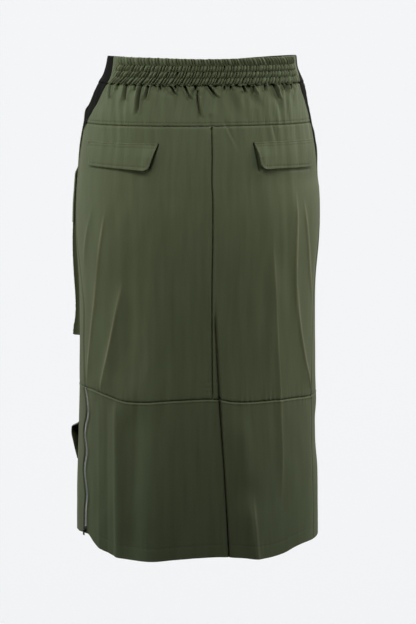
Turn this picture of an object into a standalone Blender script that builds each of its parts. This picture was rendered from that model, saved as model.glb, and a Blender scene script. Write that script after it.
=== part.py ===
"""Cargo utility skirt with an elasticated back waist, modelled as the pieces a maker sews together.

Metres, +Z up. The wearer's left is +X and the wearer's back is +Y. The origin is the middle of the
waistband, where the wearer holds the skirt up. A place on the cloth is an angle and a height: the angle
is in degrees from the middle of the back (0) towards the wearer's left (90) and round to the front (180).
Every cloth piece is a thin wall whose outer face follows one form: a ring for each height, with folds.
"""
import math
from typing import Callable, NamedTuple

import bmesh
import bpy
from mathutils import Matrix, Vector

# ---------------------------------------------------------------- driving dimensions
WALL = 0.0015            # thickness of a cloth wall, two layers and their seam
SEAM_GAP = 0.0004        # space between two pieces at a seam
TIER_ROWS = 12           # rows of faces down the lower tier, shared with the zip between its edges
LAYER_GAP = 0.0007       # space between a piece and the panel that it lies on

BAND_TOP = 0.021         # height of the waistband's upper edge at the sides
BAND_BOTTOM = -0.021     # height of the seam under the waistband at the sides
FRONT_DIP = 0.014        # how much lower the waistband sits at the middle of the front
BACK_DIP = 0.002         # how much its upper edge dips at the middle of the back
YOKE_SEAM = -0.083       # height of the seam under the back yoke
CENTRE_SEAM = -3.8       # angle of the centre back seam

GATHER_FIRST = 64.0      # angle of the first gather of the back waistband
GATHER_LAST = -66.0      # angle of its last gather
GATHER_COUNT = 31        # gathers along each of its rows
GATHER_DEPTH = 0.0024    # depth of a gather between two elastic stitch rows
PUFF = 0.0012            # how far the cloth swells between two stitch rows

MOUTH_TOP_LEFT = 103.0   # angle of the left hip pocket's mouth at the waistband
MOUTH_TOP_RIGHT = 257.0  # angle of the right hip pocket's mouth at the waistband
MOUTH_END = -0.170       # height where a pocket mouth meets the side seam
MOUTH_RIGHT_SHARE = 0.15 # how far the right mouth stands open, as a share of the left
MOUTH_REACH = 0.022      # how far that opening dies away along the front panel
FACING_TUCK = 15.0       # degrees of pocket facing hidden under the front panel
FACING_END = -0.205      # height of the facing's lower edge
FACING_GAP = 0.0016      # space between the facing and the front panel over it
FACING_SIDE = 0.0020      # space between its edge and the side seam
FACING_FLUSH = 0.0005    # how far the facing lies below the yoke beside the side seam

POCKET_BACK_EDGE = 98.0  # angle of the cargo pocket's edge beside the left side seam
POCKET_FRONT_EDGE = 148.0
POCKET_TOP = -0.192      # height of the cargo pocket's open top edge
POCKET_BOTTOM = -0.430   # height of its lower edge
POCKET_ACROSS = (0.0, 0.08, 0.24, 0.41, 0.59, 0.76, 0.92, 1.0)   # its columns, front edge first
POCKET_FOOT = 0.0015     # space between its foot and the panel
POCKET_CROWN = 0.0070    # how much further its middle swells
FLAP_CLEAR = 0.0004      # further space between the pocket and its flap
POCKET_FLAP_TOP = -0.152
POCKET_FLAP_BOTTOM = -0.246

LOOP_ANGLE = 97.5        # middle of the utility loop on the left of the lower tier
LOOP_WIDTH = 0.022
LOOP_TOP = -0.5740
LOOP_BOTTOM = -0.6320
LOOP_STAND = 0.0121      # how far the loop stands off the cloth

ZIP_WIDTH = 0.0060       # width of the closed chain
ZIP_THICKNESS = 0.0018
SLIDER_LENGTH = 0.0110
SLIDER_TOP = -0.7275     # height where the chain ends and the slider begins
SLIDER_BODY_WIDTH = 0.0056
EAR_THICKNESS = 0.0009
PIN_RADIUS = 0.0006
PIN_LIFT = 0.0034        # how far the pin's axis stands off the cloth
EYE_BORE = 0.0009        # inner radius of the pull's eye
EYE_RADIUS = 0.0017
PULL_WIDTH = 0.0046
PULL_THICKNESS = 0.0012
PULL_LENGTH = 0.0085     # from the pin's axis to the pull's free end


# ---------------------------------------------------------------- tables
class Ring(NamedTuple):
    """One level section of the form."""
    height: float
    half_width: float
    behind: float        # depth from the axis to the back
    ahead: float         # depth from the axis to the front
    shift: float         # how far the ring's middle sits to the wearer's left
    square: float        # 2 is an ellipse, more is squarer


RINGS = (
    Ring(0.021, 0.1496, 0.104, 0.106, -0.007, 2.10),
    Ring(0.004, 0.1522, 0.1065, 0.108, -0.0063, 2.10),
    Ring(-0.011, 0.1575, 0.1080, 0.1095, -0.0064, 2.10),
    Ring(-0.021, 0.1638, 0.109, 0.111, -0.0058, 2.10),
    Ring(-0.037, 0.1704, 0.1115, 0.113, -0.0035, 2.12),
    Ring(-0.052, 0.1742, 0.114, 0.115, -0.0022, 2.15),
    Ring(-0.068, 0.1795, 0.117, 0.117, -0.0013, 2.15),
    Ring(-0.085, 0.1826, 0.120, 0.119, -0.0011, 2.15),
    Ring(-0.125, 0.1892, 0.125, 0.121, -0.001, 2.15),
    Ring(-0.170, 0.1920, 0.129, 0.123, 0.000, 2.15),
    Ring(-0.190, 0.1941, 0.130, 0.1235, -0.0009, 2.17),
    Ring(-0.220, 0.1955, 0.131, 0.124, -0.0010, 2.20),
    Ring(-0.270, 0.1948, 0.131, 0.124, -0.0008, 2.20),
    Ring(-0.330, 0.1912, 0.130, 0.124, 0.000, 2.20),
    Ring(-0.400, 0.1900, 0.130, 0.125, 0.000, 2.20),
    Ring(-0.510, 0.1915, 0.134, 0.129, 0.000, 2.20),
    Ring(-0.640, 0.1950, 0.139, 0.135, 0.000, 2.20),
    Ring(-0.775, 0.1975, 0.143, 0.140, 0.000, 2.20),
)


class Line(NamedTuple):
    """A seam that runs downwards."""
    height: float
    angle: float


LEFT_SEAM = (
    Line(0.021, 76.5), Line(-0.021, 74.3), Line(-0.060, 79.0), Line(-0.085, 84.0), Line(-0.170, 87.5),
    Line(-0.270, 86.5), Line(-0.370, 81.6), Line(-0.430, 79.6), Line(-0.500, 76.9),
)
RIGHT_SEAM = (
    Line(0.021, -80.0), Line(-0.006, -79.0), Line(-0.018, -74.6), Line(-0.034, -72.9), Line(-0.050, -74.8),
    Line(-0.082, -76.2), Line(-0.110, -77.4), Line(-0.170, -79.4),
    Line(-0.270, -79.0), Line(-0.370, -76.0), Line(-0.500, -71.0), Line(-0.775, -70.0),
)
ZIP_LINE = (
    Line(-0.500, 76.9), Line(-0.539, 73.7), Line(-0.575, 76.3), Line(-0.604, 74.1),
    Line(-0.635, 75.3), Line(-0.675, 72.9), Line(-0.704, 73.7), Line(-0.775, 73.2),
)


class Edge(NamedTuple):
    """A seam or hem that runs round the skirt."""
    angle: float
    height: float


KNEE_SEAM = (
    Edge(-110.0, -0.5140), Edge(-90.0, -0.5172), Edge(-72.0, -0.5200), Edge(-58.0, -0.5165),
    Edge(-46.0, -0.5145),
    Edge(-28.0, -0.514), Edge(-17.0, -0.512), Edge(-8.0, -0.508), Edge(20.0, -0.509),
    Edge(48.0, -0.514), Edge(60.0, -0.507), Edge(70.5, -0.502), Edge(75.5, -0.502), Edge(80.5, -0.502),
    Edge(110.0, -0.504),
    Edge(180.0, -0.510), Edge(215.0, -0.5108), Edge(250.0, -0.5140),
)
HEM = (
    Edge(-110.0, -0.757), Edge(-75.0, -0.757), Edge(-58.0, -0.755), Edge(-44.0, -0.762),
    Edge(-31.0, -0.7625), Edge(-20.0, -0.7590), Edge(-8.0, -0.7585), Edge(8.0, -0.7590),
    Edge(20.0, -0.7605), Edge(35.0, -0.7640), Edge(48.0, -0.7630), Edge(57.0, -0.7590),
    Edge(62.5, -0.7550), Edge(66.0, -0.7490), Edge(69.5, -0.7410), Edge(71.8, -0.7375),
    Edge(74.0, -0.7380), Edge(78.0, -0.7405), Edge(84.0, -0.7435), Edge(110.0, -0.754),
    Edge(180.0, -0.760), Edge(250.0, -0.757),
)


class Fold(NamedTuple):
    """A ridge or trough that runs down the cloth."""
    top: float           # height where it begins
    at_top: float        # its angle there
    at_middle: float
    at_bottom: float
    bottom: float        # height where it ends
    width: float         # half its width
    rise: float          # height of a ridge, or less than 0 for a trough
    crest: float         # radius that rounds its crest
    fade_in: float       # length over which it grows below its top
    fade_out: float      # length over which it dies above its bottom


FOLDS = (
    # lobes of the flared hem, left and right of the centre back
    Fold(-0.430, 36.0, 34.0, 33.0, -0.900, 0.046, 0.0150, 0.030, 0.300, 0.010),
    Fold(-0.430, -34.0, -33.0, -32.0, -0.900, 0.040, 0.0130, 0.030, 0.300, 0.010),
    # long folds on the wearer's left
    Fold(-0.205, 62.5, 69.0, 75.0, -0.520, 0.011, 0.0034, 0.004, 0.090, 0.060),
    Fold(-0.310, 53.5, 59.5, 64.5, -0.520, 0.011, 0.0042, 0.006, 0.080, 0.040),
    Fold(-0.250, 50.0, 56.0, 60.5, -0.515, 0.013, -0.0040, 0.010, 0.090, 0.050),
    Fold(-0.500, 56.0, 53.5, 52.0, -0.860, 0.013, 0.0045, 0.012, 0.060, 0.020),
    Fold(-0.500, 41.0, 39.5, 38.5, -0.800, 0.018, -0.0060, 0.016, 0.060, 0.080),
    # long folds on the wearer's right
    Fold(-0.270, -43.5, -47.0, -44.5, -0.690, 0.012, 0.0042, 0.003, 0.070, 0.090),
    Fold(-0.170, -58.5, -60.0, -71.0, -0.530, 0.012, 0.0040, 0.004, 0.090, 0.050),
    Fold(-0.520, -23.0, -24.0, -25.5, -0.680, 0.010, 0.0030, 0.008, 0.050, 0.060),
    Fold(-0.640, -23.5, -27.5, -32.0, -0.860, 0.014, 0.0060, 0.003, 0.060, 0.020),
    Fold(-0.530, -84.0, -84.0, -84.0, -0.650, 0.018, -0.0040, 0.010, 0.050, 0.050),
    # the front falls in the same way
    Fold(-0.240, 118.0, 122.0, 124.0, -0.560, 0.014, 0.0036, 0.010, 0.110, 0.080),
    Fold(-0.300, 232.0, 228.0, 226.0, -0.540, 0.014, 0.0042, 0.006, 0.100, 0.060),
    Fold(-0.470, 205.0, 206.0, 208.0, -0.900, 0.030, 0.0110, 0.022, 0.220, 0.010),
    Fold(-0.470, 152.0, 153.0, 154.0, -0.900, 0.032, 0.0110, 0.022, 0.220, 0.010),
    Fold(-0.440, 180.0, 179.0, 178.0, -0.900, 0.020, -0.0090, 0.014, 0.240, 0.010),
    Fold(-0.480, 262.0, 260.0, 258.0, -0.840, 0.018, 0.0050, 0.010, 0.120, 0.060),
    Fold(-0.480, 112.0, 111.0, 110.0, -0.860, 0.018, 0.0055, 0.012, 0.120, 0.040),
)


class Gather(NamedTuple):
    """A trough that the elastic sends down into the yoke."""
    at_top: float        # its angle under the waistband
    at_end: float
    end: float           # height where it dies out
    width: float         # half its width
    depth: float


GATHERS = (
    Gather(69.5, 67.5, -0.036, 0.0030, 0.0022), Gather(64.5, 63.0, -0.048, 0.0034, 0.0014),
    Gather(58.4, 53.5, -0.064, 0.0032, 0.0042), Gather(52.6, 52.4, -0.040, 0.0028, 0.0026),
    Gather(45.5, 44.0, -0.056, 0.0040, 0.0018), Gather(40.5, 38.6, -0.034, 0.0028, 0.0018),
    Gather(35.9, 28.0, -0.040, 0.0028, 0.0032), Gather(30.6, 29.8, -0.031, 0.0026, 0.0020),
    Gather(24.0, 21.8, -0.078, 0.0034, 0.0026), Gather(18.6, 14.6, -0.034, 0.0028, 0.0026),
    Gather(10.6, 5.6, -0.072, 0.0032, 0.0038), Gather(2.0, -6.0, -0.040, 0.0028, 0.0034),
    Gather(-5.6, -6.6, -0.064, 0.0034, 0.0030), Gather(-15.2, -25.2, -0.076, 0.0050, 0.0032),
    Gather(-22.6, -28.4, -0.030, 0.0028, 0.0026), Gather(-32.4, -38.4, -0.058, 0.0040, 0.0046),
    Gather(-37.2, -36.8, -0.028, 0.0026, 0.0024), Gather(-43.8, -43.4, -0.030, 0.0026, 0.0026),
    Gather(-49.6, -53.2, -0.068, 0.0038, 0.0040), Gather(-60.0, -60.8, -0.050, 0.0040, 0.0020),
)


class Across(NamedTuple):
    """One line along the overlapping fold beside the centre back seam."""
    place: float         # distance from the fold's edge, more than 0 on the wearer's left
    slide: float         # how far that line is carried to the wearer's left
    out: float           # how far it is carried outwards


OVERLAP = (
    Across(-0.075, 0.0000, 0.0000), Across(-0.040, 0.0000, 0.0030), Across(-0.018, 0.0010, 0.0062),
    Across(-0.009, 0.0024, 0.0060), Across(-0.004, 0.0040, 0.0034), Across(-0.001, 0.0034, -0.0010),
    Across(0.002, -0.0004, -0.0070), Across(0.005, -0.0040, -0.0118), Across(0.010, -0.0046, -0.0140),
    Across(0.020, -0.0024, -0.0134), Across(0.040, 0.0000, -0.0090), Across(0.085, 0.0000, 0.0000),
)
OVERLAP_LINE = (
    Line(-0.340, -6.4), Line(-0.414, -7.9), Line(-0.502, -9.3), Line(-0.577, -10.8), Line(-0.775, -14.2),
)
OVERLAP_TOP = -0.345     # height where the overlapping fold begins
OVERLAP_FULL = -0.700    # height below which it has its whole depth
STITCH_LEAN = (1.6, 0.7, -1.9)   # degrees that the gathers of each row lean, top row first


class Stand(NamedTuple):
    """How far a piece stands off the form at one height."""
    height: float
    out: float


MOUTH_STAND = (
    Stand(-0.021, 0.0000), Stand(-0.0585, 0.0000), Stand(-0.064, 0.0022), Stand(-0.085, 0.0014),
    Stand(-0.115, 0.0006), Stand(-0.150, 0.0000), Stand(-0.170, 0.0000),
)
POCKET_STAND = (
    Stand(-0.165, 0.0052), Stand(-0.206, 0.0058), Stand(-0.280, 0.0096), Stand(-0.320, 0.0108),
    Stand(-0.370, 0.0094), Stand(-0.400, 0.0104), Stand(-0.418, 0.0132), Stand(-0.430, 0.0138),
)


# ---------------------------------------------------------------- the form
def smoothstep(value: float) -> float:
    """Rise smoothly from 0 to 1 as the value goes from 0 to 1."""
    clamped = min(max(value, 0.0), 1.0)
    return clamped * clamped * (3.0 - 2.0 * clamped)


def along(rows, place: float) -> list:
    """Read a table's other columns at a place in its first column, on smooth curves."""
    keys = [row[0] for row in rows]
    if keys[0] > keys[-1]:
        rows = rows[::-1]
        keys = keys[::-1]
    place = min(max(place, keys[0]), keys[-1])
    first = max(index for index in range(len(keys) - 1) if keys[index] <= place)
    before, low, high, after = (rows[min(max(first + step, 0), len(rows) - 1)] for step in (-1, 0, 1, 2))
    span = high[0] - low[0]
    part = (place - low[0]) / span
    values = []
    for column in range(1, len(low)):
        slope_low = (high[column] - before[column]) / (high[0] - before[0])
        slope_high = (after[column] - low[column]) / (after[0] - low[0])
        values.append((2 * part ** 3 - 3 * part ** 2 + 1) * low[column]
                      + (part ** 3 - 2 * part ** 2 + part) * span * slope_low
                      + (3 * part ** 2 - 2 * part ** 3) * high[column]
                      + (part ** 3 - part ** 2) * span * slope_high)
    return values


def ring_point(angle: float, height: float) -> Vector:
    """Point of the form's plain ring, before folds."""
    half_width, behind, ahead, shift, square = along(RINGS, height)
    sine = math.sin(math.radians(angle))
    cosine = math.cos(math.radians(angle))
    depth = behind if cosine > 0 else ahead
    radius = ((abs(sine) / half_width) ** square + (abs(cosine) / depth) ** square) ** (-1 / square)
    return Vector((radius * sine + shift, radius * cosine, height))


def arc_scale(angle: float, height: float) -> float:
    """Metres of cloth in one degree of the plain ring."""
    return (ring_point(angle + 0.5, height) - ring_point(angle - 0.5, height)).length


def wrapped(difference: float) -> float:
    """Bring a difference of two angles between -180 and 180."""
    return (difference + 180.0) % 360.0 - 180.0


def crest_shape(distance: float, width: float, crest: float) -> float:
    """Height of a fold, from 1 on its line to 0 far away, rounded by the crest's radius."""
    return math.exp(-(math.hypot(distance, crest) - crest) / width)


def fold_out(angle: float, height: float, degree: float) -> float:
    """How far the long folds carry the cloth outwards."""
    total = 0.0
    for fold in FOLDS:
        if not fold.bottom < height < fold.top:
            continue
        part = (fold.top - height) / (fold.top - fold.bottom)
        line = (fold.at_top * (1 - part) * (1 - 2 * part) + fold.at_middle * 4 * part * (1 - part)
                + fold.at_bottom * part * (2 * part - 1))
        distance = wrapped(angle - line) * degree
        strength = (smoothstep((fold.top - height) / fold.fade_in)
                    * smoothstep((height - fold.bottom) / fold.fade_out))
        total += fold.rise * strength * crest_shape(distance, fold.width, fold.crest)
    return total


def yoke_gather_out(angle: float, height: float, degree: float) -> float:
    """How far the gathers under the waistband carry the yoke inwards."""
    total = 0.0
    for gather in GATHERS:
        if not gather.end < height <= BAND_BOTTOM + 0.001:
            continue
        part = (BAND_BOTTOM - height) / (BAND_BOTTOM - gather.end)
        line = gather.at_top + (gather.at_end - gather.at_top) * part
        distance = wrapped(angle - line) * degree
        spread = gather.width * (1.0 + 0.9 * part)
        total -= gather.depth * (1.0 - smoothstep(part)) ** 0.7 * crest_shape(distance, spread, spread * 0.6)
    return total


def band_gather_out(angle: float, height: float) -> float:
    """How far the elastic's gathers carry the back waistband in and out."""
    if not GATHER_LAST - 4.0 < wrapped(angle) < GATHER_FIRST + 4.0:
        return 0.0
    down = (BAND_TOP - height) / (BAND_TOP - BAND_BOTTOM) * len(STITCH_LEAN)
    tier = min(max(int(down), 0), len(STITCH_LEAN) - 1)
    inside = min(max(down - tier, 0.0), 1.0)
    pitch = (GATHER_FIRST - GATHER_LAST) / GATHER_COUNT
    count = (GATHER_FIRST - wrapped(angle) - STITCH_LEAN[tier] * (inside - 0.5)) / pitch
    nearest = round(count)
    swell = math.sin(math.pi * inside) ** 0.7
    trough = 1.0 - abs(math.sin(math.pi * count)) ** 0.8
    depth = GATHER_DEPTH * (0.9 + 0.25 * math.sin(7.3 * nearest + 2.2 * tier))
    ends = smoothstep((wrapped(angle) - GATHER_LAST + 4.0) / 5.0)
    ends *= smoothstep((GATHER_FIRST + 4.0 - wrapped(angle)) / 5.0)
    return ends * (PUFF * swell - depth * trough * (0.3 + 0.7 * swell))


def overlap_shift(angle: float, height: float, degree: float) -> tuple:
    """How far the overlapping fold carries the cloth to the wearer's left, and outwards."""
    if height >= OVERLAP_TOP:
        return 0.0, 0.0
    place = wrapped(angle - along(OVERLAP_LINE, height)[0]) * degree
    if not OVERLAP[0].place < place < OVERLAP[-1].place:
        return 0.0, 0.0
    slide, out = along(OVERLAP, place)
    strength = smoothstep((OVERLAP_TOP - height) / (OVERLAP_TOP - OVERLAP_FULL)) ** 0.6
    return slide * strength, out * strength


def skin(angle: float, height: float) -> Vector:
    """Point of the cloth's outer face, with its folds."""
    point = ring_point(angle, height)
    step = ring_point(angle + 0.5, height) - ring_point(angle - 0.5, height)
    degree = step.length
    sideways = step / degree
    outwards = Vector((-sideways.y, sideways.x, 0.0))
    out = fold_out(angle, height, degree)
    if height > BAND_BOTTOM - 0.060:
        out += yoke_gather_out(angle, height, degree)
    if height > BAND_BOTTOM:
        out += band_gather_out(angle, height)
    slide, overlap = overlap_shift(angle, height, degree)
    return point + outwards * (out + overlap) + sideways * slide


def cloth_point(angle: float, height: float, lift: float = 0.0) -> Vector:
    """Point that stands a given distance outside the cloth's outer face, at the same height."""
    step = skin(angle + 0.15, height) - skin(angle - 0.15, height)
    outwards = Vector((-step.y, step.x, 0.0)).normalized()
    return skin(angle, height) + outwards * lift


# ---------------------------------------------------------------- seam lines
def front_share(angle: float) -> float:
    """0 on the whole back, rising to 1 at the middle of the front."""
    turned = abs(wrapped(angle))
    return smoothstep((turned - 80.0) / 100.0)


def band_top(angle: float) -> float:
    """Height of the waistband's upper edge."""
    dip = BACK_DIP * (1.0 - smoothstep(abs(wrapped(angle)) / 60.0))
    return BAND_TOP - FRONT_DIP * front_share(angle) - dip


def band_bottom(angle: float) -> float:
    """Height of the seam under the waistband."""
    return BAND_BOTTOM - FRONT_DIP * front_share(angle)


def yoke_seam(_angle: float) -> float:
    """Height of the seam under the back yoke."""
    return YOKE_SEAM


def ring_seam(rows, angle: float) -> float:
    """Height of a seam that runs round the skirt, from its table."""
    return along(rows, angle if angle <= 250.0 else angle - 360.0)[0]


def knee_seam(angle: float) -> float:
    """Height of the seam between the panels and the lower tier."""
    return ring_seam(KNEE_SEAM, angle)


def hem(angle: float) -> float:
    """Height of the hem's edge."""
    return ring_seam(HEM, angle)


def left_seam(height: float) -> float:
    """Angle of the wearer's left side seam, which the zip follows below the knee seam."""
    if height < ZIP_LINE[0].height:
        return along(ZIP_LINE, height)[0]
    return along(LEFT_SEAM, height)[0]


def right_seam(height: float) -> float:
    """Angle of the wearer's right side seam."""
    return along(RIGHT_SEAM, height)[0]


def moved(angle: float, height: float, distance: float) -> float:
    """Angle a given distance further towards the wearer's left."""
    return angle + distance / arc_scale(angle, height)


def spread(stops: list, counts: list) -> list:
    """Angles from the first stop to the last, with a count of equal steps between each two stops."""
    angles = [stops[0]]
    for start, end, count in zip(stops, stops[1:], counts):
        angles += [start + (end - start) * step / count for step in range(1, count + 1)]
    return angles


def even(count: int) -> list:
    """Fractions from 0 to 1 in equal steps."""
    return [step / count for step in range(count + 1)]


# ---------------------------------------------------------------- making meshes
def finish_object(name: str, mesh_builder: bmesh.types.BMesh, colour: tuple, rough: float,
                  metal: float = 0.0) -> bpy.types.Object:
    """Turn a bmesh into a named object with its own material."""
    mesh = bpy.data.meshes.new(name)
    mesh_builder.to_mesh(mesh)
    mesh_builder.free()
    item = bpy.data.objects.new(name, mesh)
    bpy.context.collection.objects.link(item)
    material = bpy.data.materials.new(name + "_material")
    material.use_nodes = True
    shader = material.node_tree.nodes["Principled BSDF"]
    shader.inputs["Base Color"].default_value = (*colour, 1.0)
    shader.inputs["Roughness"].default_value = rough
    shader.inputs["Metallic"].default_value = metal
    mesh.materials.append(material)
    mesh.shade_smooth()
    mesh.set_sharp_from_angle(angle=math.radians(40))
    return item


TWILL = (0.060, 0.075, 0.042)
TWILL_ROUGH = 0.62
POCKETING = (0.012, 0.012, 0.011)
METAL = (0.30, 0.31, 0.32)
METAL_ROUGH = 0.38


def slab(columns: int, rows: int) -> bmesh.types.BMesh:
    """A flat closed slab: a unit grid at 0 and its copy at -1, joined round the edge."""
    builder = bmesh.new()
    bmesh.ops.create_grid(builder, x_segments=columns, y_segments=rows, size=0.5)
    grown = bmesh.ops.extrude_face_region(builder, geom=builder.faces[:], use_keep_orig=True)
    copies = [item for item in grown["geom"] if isinstance(item, bmesh.types.BMVert)]
    bmesh.ops.translate(builder, verts=copies, vec=(0.0, 0.0, -1.0))
    bmesh.ops.recalc_face_normals(builder, faces=builder.faces[:])
    return builder


def sewn_piece(name: str, columns: int, rows: int, place: Callable[[int, int, bool], Vector],
               colour: tuple = TWILL, rough: float = TWILL_ROUGH, metal: float = 0.0) -> bpy.types.Object:
    """Carry each point of a flat slab to its place on the cloth.

    The place function gets a column, a row from the top, and whether the point is on the inner face.
    Columns run from left to right as seen from outside.
    """
    builder = slab(columns, rows)
    for vertex in builder.verts:
        column = round((vertex.co.x + 0.5) * columns)
        row = round((0.5 - vertex.co.y) * rows)
        vertex.co = place(column, row, vertex.co.z < -0.5)
    return finish_object(name, builder, colour, rough, metal)


def wall(name: str, columns: Callable[[float], list], top: Callable[[float], float],
         bottom: Callable[[float], float], rows: list,
         lift: Callable[[float, float], float] = lambda angle, height: 0.0,
         colour: tuple = TWILL) -> bpy.types.Object:
    """A cloth wall between two seams that run round the skirt.

    The columns function gives the angle of each column at a height, greatest angle first, and rows
    are the fractions of the way down.
    """
    places = {}

    def settled(column: int, row: int) -> tuple:
        """Angle and height of a grid point, whose column bends with height and whose row with angle."""
        part = rows[row]
        angle = columns(0.0)[column]
        height = 0.0
        for _ in range(3):
            high = top(angle) - SEAM_GAP / 2
            low = bottom(angle) + SEAM_GAP / 2
            height = high + (low - high) * part
            angle = columns(height)[column]
        return angle, height

    def place(column: int, row: int, inner: bool) -> Vector:
        if (column, row) not in places:
            places[column, row] = settled(column, row)
        angle, height = places[column, row]
        return cloth_point(angle, height, lift(angle, height) - (WALL if inner else 0.0))

    return sewn_piece(name, len(columns(0.0)) - 1, len(rows) - 1, place, colour)


# ---------------------------------------------------------------- waistband and yoke
def make_waistband_back() -> None:
    """Elasticated back waistband: three rows of gathers between four stitch lines."""
    pitch = (GATHER_FIRST - GATHER_LAST) / GATHER_COUNT
    tiers = len(STITCH_LEAN)
    rows = even(2 * tiers)

    def columns(height: float) -> list:
        down = (BAND_TOP - height) / (BAND_TOP - BAND_BOTTOM) * tiers
        tier = min(max(int(down), 0), tiers - 1)
        lean = STITCH_LEAN[tier] * (down - tier - 0.5) * 0.5
        gathered = [GATHER_FIRST - pitch * step / 2 - lean for step in range(2 * GATHER_COUNT + 1)]
        left = moved(left_seam(height), height, -SEAM_GAP / 2)
        right = moved(right_seam(height), height, SEAM_GAP / 2)
        return [left, (left + gathered[0]) / 2] + gathered + [(gathered[-1] + right) / 2, right]

    wall("waistband_back", columns, band_top, band_bottom, rows)


def make_waistband_front() -> None:
    """Plain front waistband, faced with the dark pocket cloth."""
    def columns(height: float) -> list:
        start = moved(360.0 + right_seam(height), height, -SEAM_GAP / 2)
        end = moved(left_seam(height), height, SEAM_GAP / 2)
        return spread([start, end], [24])

    wall("waistband_front", columns, band_top, band_bottom, even(2 * len(STITCH_LEAN)), colour=POCKETING)


def make_back_yoke() -> None:
    """Back yoke, gathered into the waistband."""
    def columns(height: float) -> list:
        left = moved(left_seam(height), height, -SEAM_GAP / 2)
        right = moved(right_seam(height), height, SEAM_GAP / 2)
        return spread([left, right], [66])

    wall("back_yoke", columns, band_bottom, yoke_seam, [0.0, 0.14, 0.32, 0.54, 0.78, 1.0])


# ---------------------------------------------------------------- back panels and lower tier
def overlap_columns(height: float, places: list) -> list:
    """Angles of the columns that follow the overlapping fold."""
    line = along(OVERLAP_LINE, height)[0]
    return [moved(line, height, place) for place in places]


def make_back_panels() -> None:
    """Two back panels that meet at the centre back seam."""
    rows = [part ** 1.3 for part in even(13)]

    def left_columns(height: float) -> list:
        start = moved(left_seam(height), height, -SEAM_GAP / 2)
        end = moved(CENTRE_SEAM, height, SEAM_GAP / 2)
        return spread([start, end], [18])

    def right_columns(height: float) -> list:
        start = moved(CENTRE_SEAM, height, -SEAM_GAP / 2)
        end = moved(right_seam(height), height, SEAM_GAP / 2)
        fold = overlap_columns(height, [0.0, -0.001, -0.004, -0.009, -0.018])
        room = min(fold[0], start - 0.9)
        shift = room - fold[0]
        fold = [angle + shift for angle in fold]
        return spread([start, fold[0]], [3])[:-1] + fold + spread([fold[-1], end], [13])[1:]

    wall("back_panel_left", left_columns, yoke_seam, knee_seam, rows)
    wall("back_panel_right", right_columns, yoke_seam, knee_seam, rows)


def zip_edge(height: float, side: float) -> float:
    """Angle of the cloth edge beside the zip: side is 1 in front of it and -1 behind."""
    return moved(left_seam(height), height, side * (ZIP_WIDTH / 2 + SEAM_GAP))


def make_back_hem_tier() -> None:
    """Lower tier of the back, in one piece from the zip to the right side seam."""
    def columns(height: float) -> list:
        start = zip_edge(height, -1.0)
        end = moved(right_seam(height), height, SEAM_GAP / 2)
        fold = overlap_columns(height, [0.032, 0.020, 0.010, 0.005, 0.002, -0.001, -0.004, -0.009, -0.018])
        return spread([start, fold[0]], [14])[:-1] + fold + spread([fold[-1], end], [11])[1:]

    wall("back_hem_tier", columns, knee_seam, hem, even(TIER_ROWS))


# ---------------------------------------------------------------- front
def mouth_share(height: float) -> float:
    """How much of its way from the side seam a pocket mouth has at a height: 1 at the waistband."""
    return smoothstep((height - MOUTH_END) / (BAND_BOTTOM - MOUTH_END) / 1.15)


def mouth_left(height: float) -> float:
    """Angle of the left hip pocket's mouth, which ends on the side seam."""
    return left_seam(height) + (MOUTH_TOP_LEFT - left_seam(BAND_BOTTOM)) * mouth_share(height)


def mouth_right(height: float) -> float:
    """Angle of the right hip pocket's mouth, which ends on the side seam."""
    reach = MOUTH_TOP_RIGHT - 360.0 - right_seam(BAND_BOTTOM)
    return 360.0 + right_seam(height) + reach * mouth_share(height)


def mouth_lift(angle: float, height: float) -> float:
    """How far the front panel stands off beside its two open pocket mouths."""
    if height < MOUTH_END:
        return 0.0
    opening = along(MOUTH_STAND, height)[0]
    near_left = (angle - mouth_left(height)) * arc_scale(angle, height)
    near_right = (angle - mouth_right(height)) * arc_scale(angle, height)
    return opening * (math.exp(-(near_left / MOUTH_REACH) ** 2)
                      + MOUTH_RIGHT_SHARE * math.exp(-(near_right / MOUTH_REACH) ** 2))


def make_front_panel() -> None:
    """Front panel from the waistband to the knee seam, cut away at its two pocket mouths."""
    def columns(height: float) -> list:
        start = moved(mouth_right(height), height, -SEAM_GAP / 2)
        end = moved(mouth_left(height), height, SEAM_GAP / 2)
        near = max(POCKET_BACK_EDGE, end + 2.0)
        pocket = [POCKET_FRONT_EDGE + (near - POCKET_FRONT_EDGE) * share for share in POCKET_ACROSS]
        tuck = start - FACING_TUCK - 1.0
        return spread([start, tuck, pocket[0]], [4, 11])[:-1] + pocket + spread([near, end], [2])[1:]

    wall("front_panel", columns, band_bottom, knee_seam, [part ** 1.4 for part in even(15)], mouth_lift)


def make_front_hem_tier() -> None:
    """Lower tier of the front."""
    def columns(height: float) -> list:
        start = moved(360.0 + right_seam(height), height, -SEAM_GAP / 2)
        end = zip_edge(height, 1.0)
        return spread([start, end], [20])

    wall("front_hem_tier", columns, knee_seam, hem, even(TIER_ROWS))


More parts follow.
